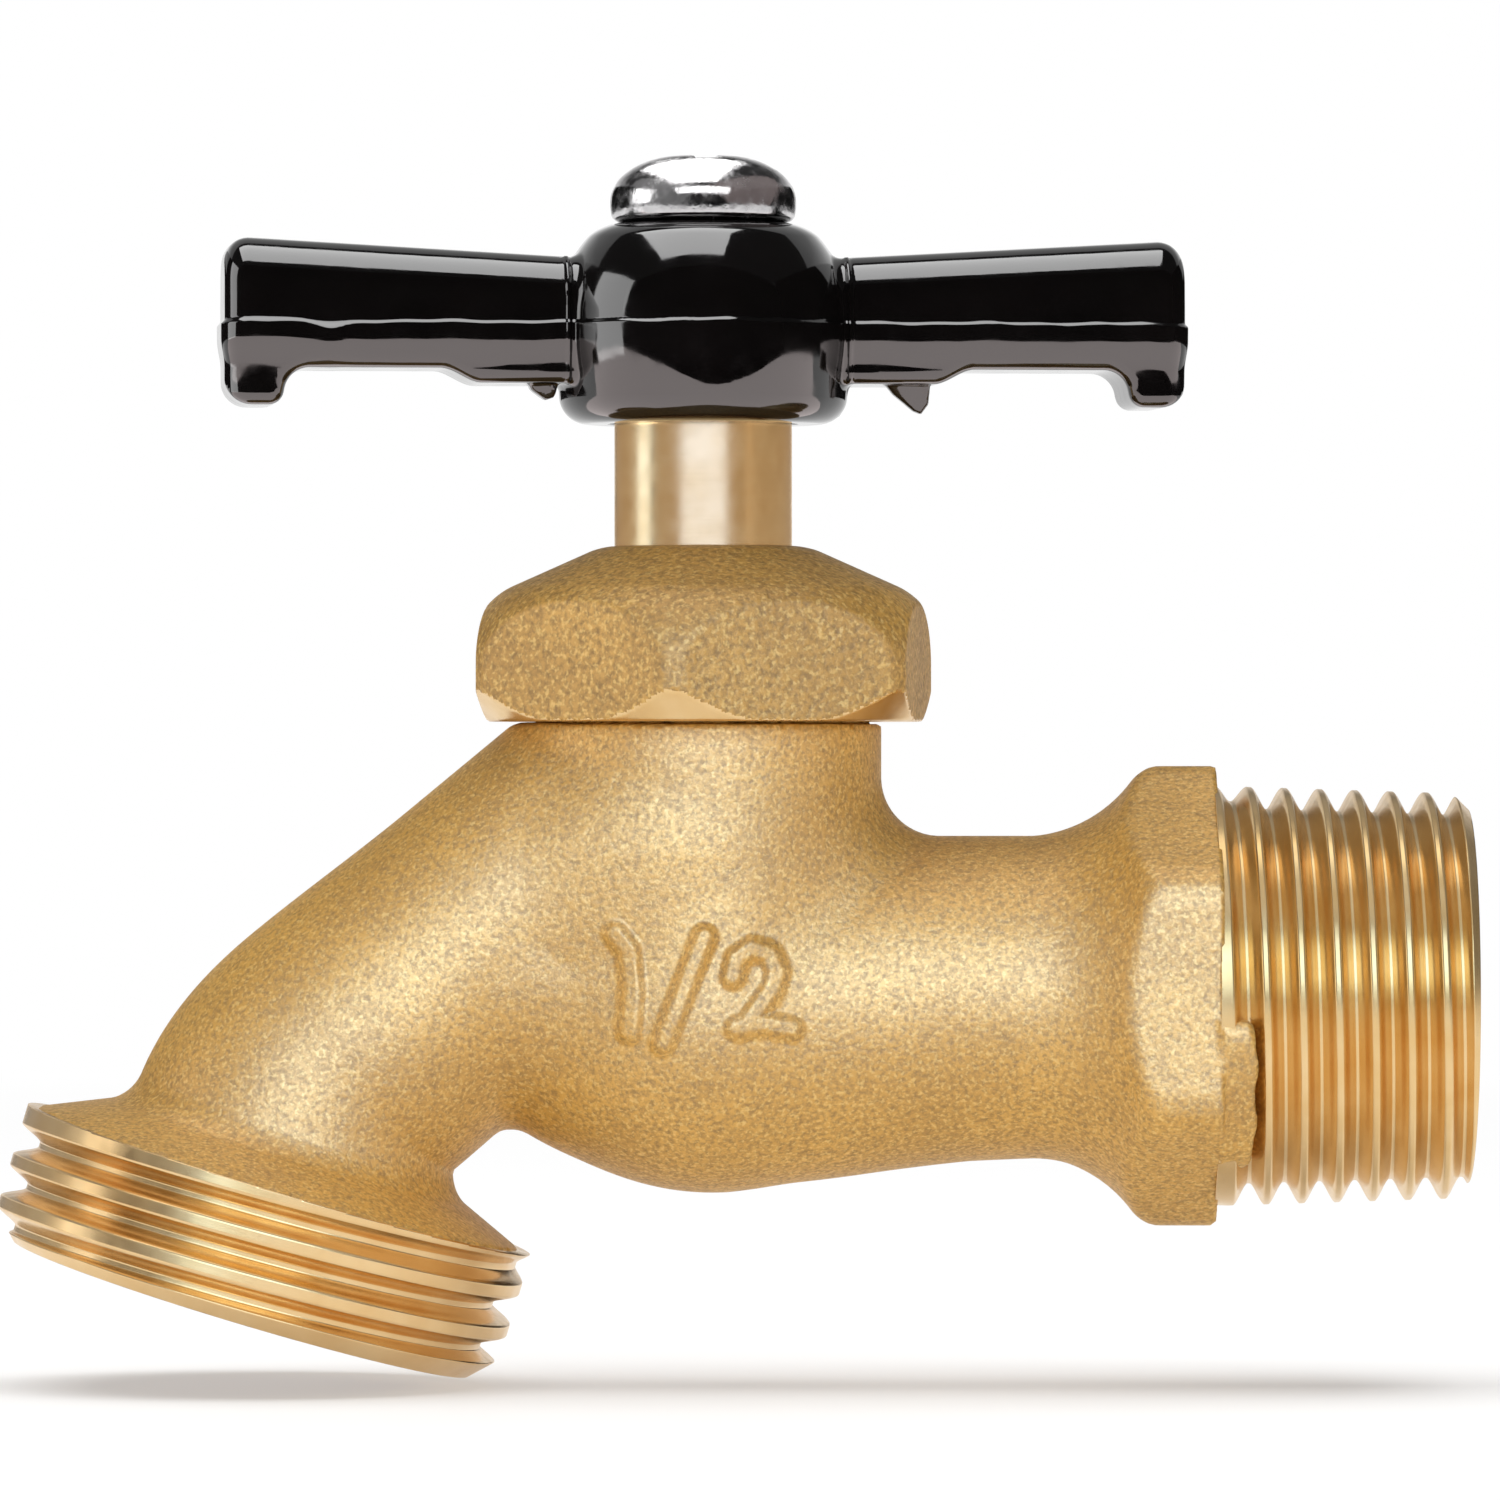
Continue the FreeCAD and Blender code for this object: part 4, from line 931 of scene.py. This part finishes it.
def build_handle():
    low = (-BAR_HALF - 0.3, -8.0, HUB_BOTTOM)
    high = (BAR_HALF + 0.3, 8.0, HUB_TOP)
    seam = ((-26, -9, PARTING_HEIGHT - 0.6), (26, 9, PARTING_HEIGHT + 0.6), 1)
    stray = ((6.5, -4, 29.5), (12, 1, 31.6), 1)
    flashes = [
        ((side - 0.7, -4.5, 30.8), (side + 0.7, 4.5, 38.5), 1)
        for side in (-FLASH_REACH, FLASH_REACH)
    ]
    piece = field_mesh("tee_handle", handle, low, high, 0.2, [seam, stray, *flashes])
    turned = Matrix.Rotation(HANDLE_TURN, 4, "Z")
    piece.data.transform(Matrix.Translation((STEM_X * MM, 0, 0)) @ turned)
    finish_piece(piece, BLACK, "stem", "black_coating", "handle")


# Handle screw

SCREW_RADIUS = 4.68
SCREW_EDGE = 1.0
SCREW_DOME = 2.58
DOME_POWER = 2.2
RECESS_TURN = math.radians(5.0)
RECESS_TOP = 3.5
RECESS_DEPTH = 2.1
WING_HALF = 0.6
WING_REACH = 2.65
SHANK_RADIUS = 2.0


def handle_screw(x, y, z):
    """A pan head screw with a cross recess."""
    off = x - STEM_X
    around = np.hypot(off, y)
    up = z - HUB_TOP
    wide = around / (SCREW_RADIUS + 0.09 * smooth_step(up, 0, 0.9))
    high = np.maximum(up - SCREW_EDGE, 0) / SCREW_DOME
    dome = ((wide ** DOME_POWER + high ** DOME_POWER) ** (1 / DOME_POWER) - 1) * 3.2
    head = meet(meet(dome, -up, 0.42), z - SCREW_HIGH.z, 0.15)
    along = y * math.cos(RECESS_TURN) - off * math.sin(RECESS_TURN)
    across = off * math.cos(RECESS_TURN) + y * math.sin(RECESS_TURN)
    deep = RECESS_TOP - up
    wings = [
        np.maximum(np.abs(a) - WING_HALF + 0.08 * deep, np.abs(b) - WING_REACH + 0.5 * deep)
        for a, b in ((across, along), (along, across))
    ]
    recess = np.maximum(np.minimum(*wings), deep - RECESS_DEPTH)
    head = cut(head, recess, 0.12)
    return join(head, cylinder(around, SHANK_RADIUS, up, -8.0, 0.5), 0.1)


def build_screw():
    piece = field_mesh("screw", handle_screw, SCREW_LOW, SCREW_HIGH, 0.13)
    finish_piece(piece, SCREW, "stem", "bright_screw", "handle_screw")


# Pieces that keep their own solids

STEM = ("spindle", "jumper", "packing_washer", "washer_nut")
SEALS = ("packing_ring", "seat_washer")


def dress_nodes():
    for nodes, material in ((STEM, STEM_BRASS), (SEALS, RUBBER)):
        for node in nodes:
            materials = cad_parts[node].data.materials
            materials.clear()
            materials.append(material)


# Studio, in metres

CAMERA_DISTANCE = 0.530
FRAME_MIDDLE = (-0.0368, 0.0126)
FRAME_WIDTH = 0.0769
SENSOR = 36.0  # in millimetres
FLOOR_REACH = 4.0
FLOOR_GAP = 0.0001
CORNER_ORDER = [(0, 1, 2, 3)]


def build_camera():
    data = bpy.data.cameras.new("camera")
    data.sensor_width = SENSOR
    data.lens = SENSOR * CAMERA_DISTANCE / FRAME_WIDTH
    data.clip_start = 0.01
    camera = bpy.data.objects.new("camera", data)
    camera.location = (FRAME_MIDDLE[0], -CAMERA_DISTANCE, FRAME_MIDDLE[1])
    camera.rotation_euler = (math.pi / 2, 0, 0)
    bpy.context.scene.collection.objects.link(camera)
    bpy.context.scene.camera = camera


def stage_plane(name, corners, made):
    """A flat piece of the studio, in a material."""
    mesh = bpy.data.meshes.new(name)
    mesh.from_pydata(corners, [], CORNER_ORDER)
    mesh.materials.append(made.material)
    plane = bpy.data.objects.new(name, mesh)
    bpy.context.scene.collection.objects.link(plane)
    plane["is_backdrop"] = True
    return plane


def build_floor():
    """A pale floor that turns into a light table away from the tap."""
    made = Material("floor", (0.9, 0.9, 0.9), metallic=0.0, roughness=0.6)
    away = made.tree.nodes.new("ShaderNodeVectorMath")
    away.operation = "LENGTH"
    made.link(made.place, away.inputs[0])
    glow = made.remap(away.outputs["Value"], (0.10, 0.50), (0.4, 1))
    light = made.tree.nodes.new("ShaderNodeEmission")
    light.inputs["Color"].default_value = (1, 1, 1, 1)
    light.inputs["Strength"].default_value = 1.0
    mixed = made.tree.nodes.new("ShaderNodeMixShader")
    made.link(glow, mixed.inputs[0])
    made.link(made.shader.outputs[0], mixed.inputs[1])
    made.link(light.outputs[0], mixed.inputs[2])
    made.link(mixed.outputs[0], made.tree.nodes["Material Output"].inputs["Surface"])
    made.shader.inputs["Specular IOR Level"].default_value = 0.1
    level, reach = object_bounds()[0][2] - FLOOR_GAP, FLOOR_REACH
    signs = ((-1, -1), (1, -1), (1, 1), (-1, 1))
    stage_plane("floor", [(u * reach, v * reach, level) for u, v in signs], made)


def build_world():
    """A studio that is white below and round the horizon, and dim overhead."""
    world = bpy.data.worlds.new("studio")
    world.use_nodes = True
    tree = world.node_tree
    place = tree.nodes.new("ShaderNodeTexCoord").outputs["Generated"]
    split = tree.nodes.new("ShaderNodeSeparateXYZ")
    tree.links.new(place, split.inputs[0])
    ramp = tree.nodes.new("ShaderNodeValToRGB")
    for element, position, gray in zip(ramp.color_ramp.elements, (0.15, 0.5), (1, 0.04)):
        element.position = position
        element.color = (gray, gray, gray, 1)
    tree.links.new(split.outputs["Z"], ramp.inputs[0])
    tree.links.new(ramp.outputs[0], tree.nodes["Background"].inputs["Color"])
    bpy.context.scene.world = world


TAP_MIDDLE = Vector((-0.0392, 0, 0.012))
CAST = ("casting",)
NUT = ("bonnet",)
THREADS = ("inlet_thread", "outlet_thread")
OUTLET = ("outlet_thread",)
HANDLE = ("tee_handle",)
SCREW_HEAD = ("screw",)
FLOOR = ("floor",)
PLAIN = (1.0, 1.0, 1.0)
WARM = (1.0, 0.85, 0.72)
CLEAR = (0.76, 0.95, 1.35)
COOL = (0.73, 1.0, 1.29)
COLD = (0.64, 1.0, 1.6)
BLUE = (0.66, 1.0, 2.0)
ROSE = (1.0, 0.83, 0.81)


def area_lamp(name, size, radiance, lit, color):
    """A rectangular lamp that lights only some pieces."""
    data = bpy.data.lights.new(name, "AREA")
    data.shape = "RECTANGLE"
    data.size, data.size_y = size
    data.energy = radiance * data.size * data.size_y * math.pi
    data.color = color
    lamp = bpy.data.objects.new(name, data)
    lamp.visible_camera = False
    group = bpy.data.collections.new(name)
    for piece in lit:
        group.objects.link(bpy.data.objects[piece])
    lamp.light_linking.receiver_collection = group
    bpy.context.scene.collection.objects.link(lamp)
    return lamp


def softbox(name, side, rise, reach, spread, radiance, lit, color=PLAIN):
    """A lamp that faces the tap from a distance, reach. side and rise are its direction in degrees
    from the camera's, to the right and up, and spread is the angle that it fills across and
    upward."""
    side, rise = math.radians(side), math.radians(rise)
    flat = math.cos(rise)
    way = Vector((math.sin(side) * flat, -math.cos(side) * flat, math.sin(rise)))
    size = [2 * reach * math.tan(math.radians(angle) / 2) for angle in spread]
    lamp = area_lamp(name, size, radiance, lit, color)
    lamp.location = TAP_MIDDLE + way * reach
    lamp.rotation_euler = way.to_track_quat("Z", "Y").to_euler()
    return lamp


def level_lamp(name, low, high, height, radiance, lit, color=PLAIN):
    """A level lamp between two corners, from the tap's middle. Below the tap it faces up."""
    lamp = area_lamp(name, (high[0] - low[0], high[1] - low[1]), radiance, lit, color)
    middle = ((low[0] + high[0]) / 2, (low[1] + high[1]) / 2, height)
    lamp.location = TAP_MIDDLE + Vector(middle)
    if height < 0:
        lamp.rotation_euler = (math.pi, 0, 0)


def build_lamps():
    """Each group of pieces has its own lamps, so that each metal shows its own reflections."""
    level_lamp("floor_top", (-0.5, -0.5), (0.5, 0.5), 0.8, 3.6, FLOOR)
    level_lamp("cast_top", (-0.2, -0.2), (0.14, 0.2), 0.42, 2.85, CAST)
    level_lamp("nut_top", (-0.2, -0.2), (0.14, 0.2), 0.42, 2.2, NUT)
    softbox("cast_left", -84, 6, 0.46, (30, 44), 2.0, CAST + NUT)
    softbox("cast_right", 70, 8, 0.42, (30, 34), 1.4, CAST)
    softbox("nut_right", 70, 8, 0.42, (30, 34), 0.9, NUT)
    softbox("cast_fill", 0, 20, 0.6, (120, 100), 0.26, CAST + NUT)
    # These two reach only the gloss.
    softbox("cast_front", 2, 17, 0.6, (58, 30), 8.5, CAST, COLD).visible_diffuse = False
    softbox("nut_front", 2, 17, 0.6, (58, 30), 3.9, NUT, COLD).visible_diffuse = False
    level_lamp("thread_sky", (-0.7, -0.5), (0.7, 0.8), 0.5, 0.32, THREADS)
    level_lamp("outlet_sky", (-0.05, 0.1), (0.3, 0.42), 0.49, 0.5, OUTLET, COOL)
    level_lamp("thread_top", (-0.2, -0.1), (0.14, 0.07), 0.42, 1.35, THREADS)
    softbox("thread_left", -84, 6, 0.46, (20, 40), 1.5, THREADS)
    softbox("thread_behind_left", -125, 10, 0.5, (60, 60), 0.4, THREADS)
    softbox("thread_right", 95, 10, 0.5, (70, 60), 0.22, THREADS)
    softbox("thread_fill", 0, 22, 0.6, (150, 100), 0.31, THREADS)
    softbox("thread_front", 2, 19, 0.6, (60, 30), 2.0, THREADS, COOL)
    softbox("outlet_front", -2, 0, 0.6, (60, 20), 1.1, OUTLET, COOL)
    softbox("stem_left", -83, 4, 0.46, (22, 50), 1.8, STEM, CLEAR)
    softbox("stem_fill", 0, 5, 0.6, (150, 110), 0.42, STEM, WARM)
    softbox("stem_behind_right", 110, 5, 0.5, (100, 60), 0.4, STEM, WARM)
    softbox("stem_behind_left", -125, 5, 0.5, (60, 60), 0.4, STEM, WARM)
    softbox("stem_front", 1, 6, 0.6, (60, 50), 1.05, STEM, BLUE)
    level_lamp("handle_top", (-0.22, -0.215), (0.10, 0.14), 0.4, 6.0, HANDLE)
    softbox("handle_left", -80, 15, 0.46, (34, 38), 3.6, HANDLE)
    softbox("handle_back", 180, 36, 0.6, (150, 50), 0.5, HANDLE)
    level_lamp("handle_floor", (-0.7, -0.32), (0.7, 0.05), -0.0312, 1.9, HANDLE, ROSE)
    level_lamp("screw_top", (-0.22, -0.215), (0.10, 0.5), 0.4, 3.0, SCREW_HEAD)
    softbox("screw_left", -84, 17, 0.46, (30, 28), 2.0, SCREW_HEAD)
    softbox("screw_front", 0, 34, 0.6, (60, 22), 2.2, SCREW_HEAD)
    softbox("screw_right", 70, 20, 0.6, (110, 90), 0.2, SCREW_HEAD, ROSE)
    softbox("screw_fill", -60, 20, 0.6, (100, 90), 0.2, SCREW_HEAD)


def black_card(name, corners):
    """A black card that only reflections show, like the dark room round a camera."""
    made = Material(name, (0.01, 0.01, 0.01), metallic=0.0, roughness=1.0)
    made.shader.inputs["Specular IOR Level"].default_value = 0.0
    card = stage_plane(name, corners, made)
    for kind in ("camera", "diffuse", "transmission", "shadow"):
        setattr(card, f"visible_{kind}", False)


def build_cards():
    """Cards on the floor in front of the tap, behind the camera and at both sides."""
    low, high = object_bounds()[0][2], 0.9
    near, far, wide, side, back = -0.32, -0.75, 1.6, 0.68, 2.0
    far_edge = [(-wide, far, low), (wide, far, low)]
    black_card("floor_card", [*far_edge, (wide, near, low), (-wide, near, low)])
    black_card("front_card", [*far_edge, (wide, far, high), (-wide, far, high)])
    for name, x in (("left_card", -side), ("right_card", side)):
        x += STEM_X * MM
        foot = [(x, near, low), (x, back, low)]
        black_card(name, [*foot, (x, back, high / 2), (x, near, high / 2)])


build_casting()
build_outlet_thread()
build_inlet_thread()
build_bonnet()
build_handle()
build_screw()
dress_nodes()
build_camera()
build_floor()
build_world()
build_cards()
build_lamps()

scene = bpy.context.scene
scene.view_settings.view_transform = "Standard"
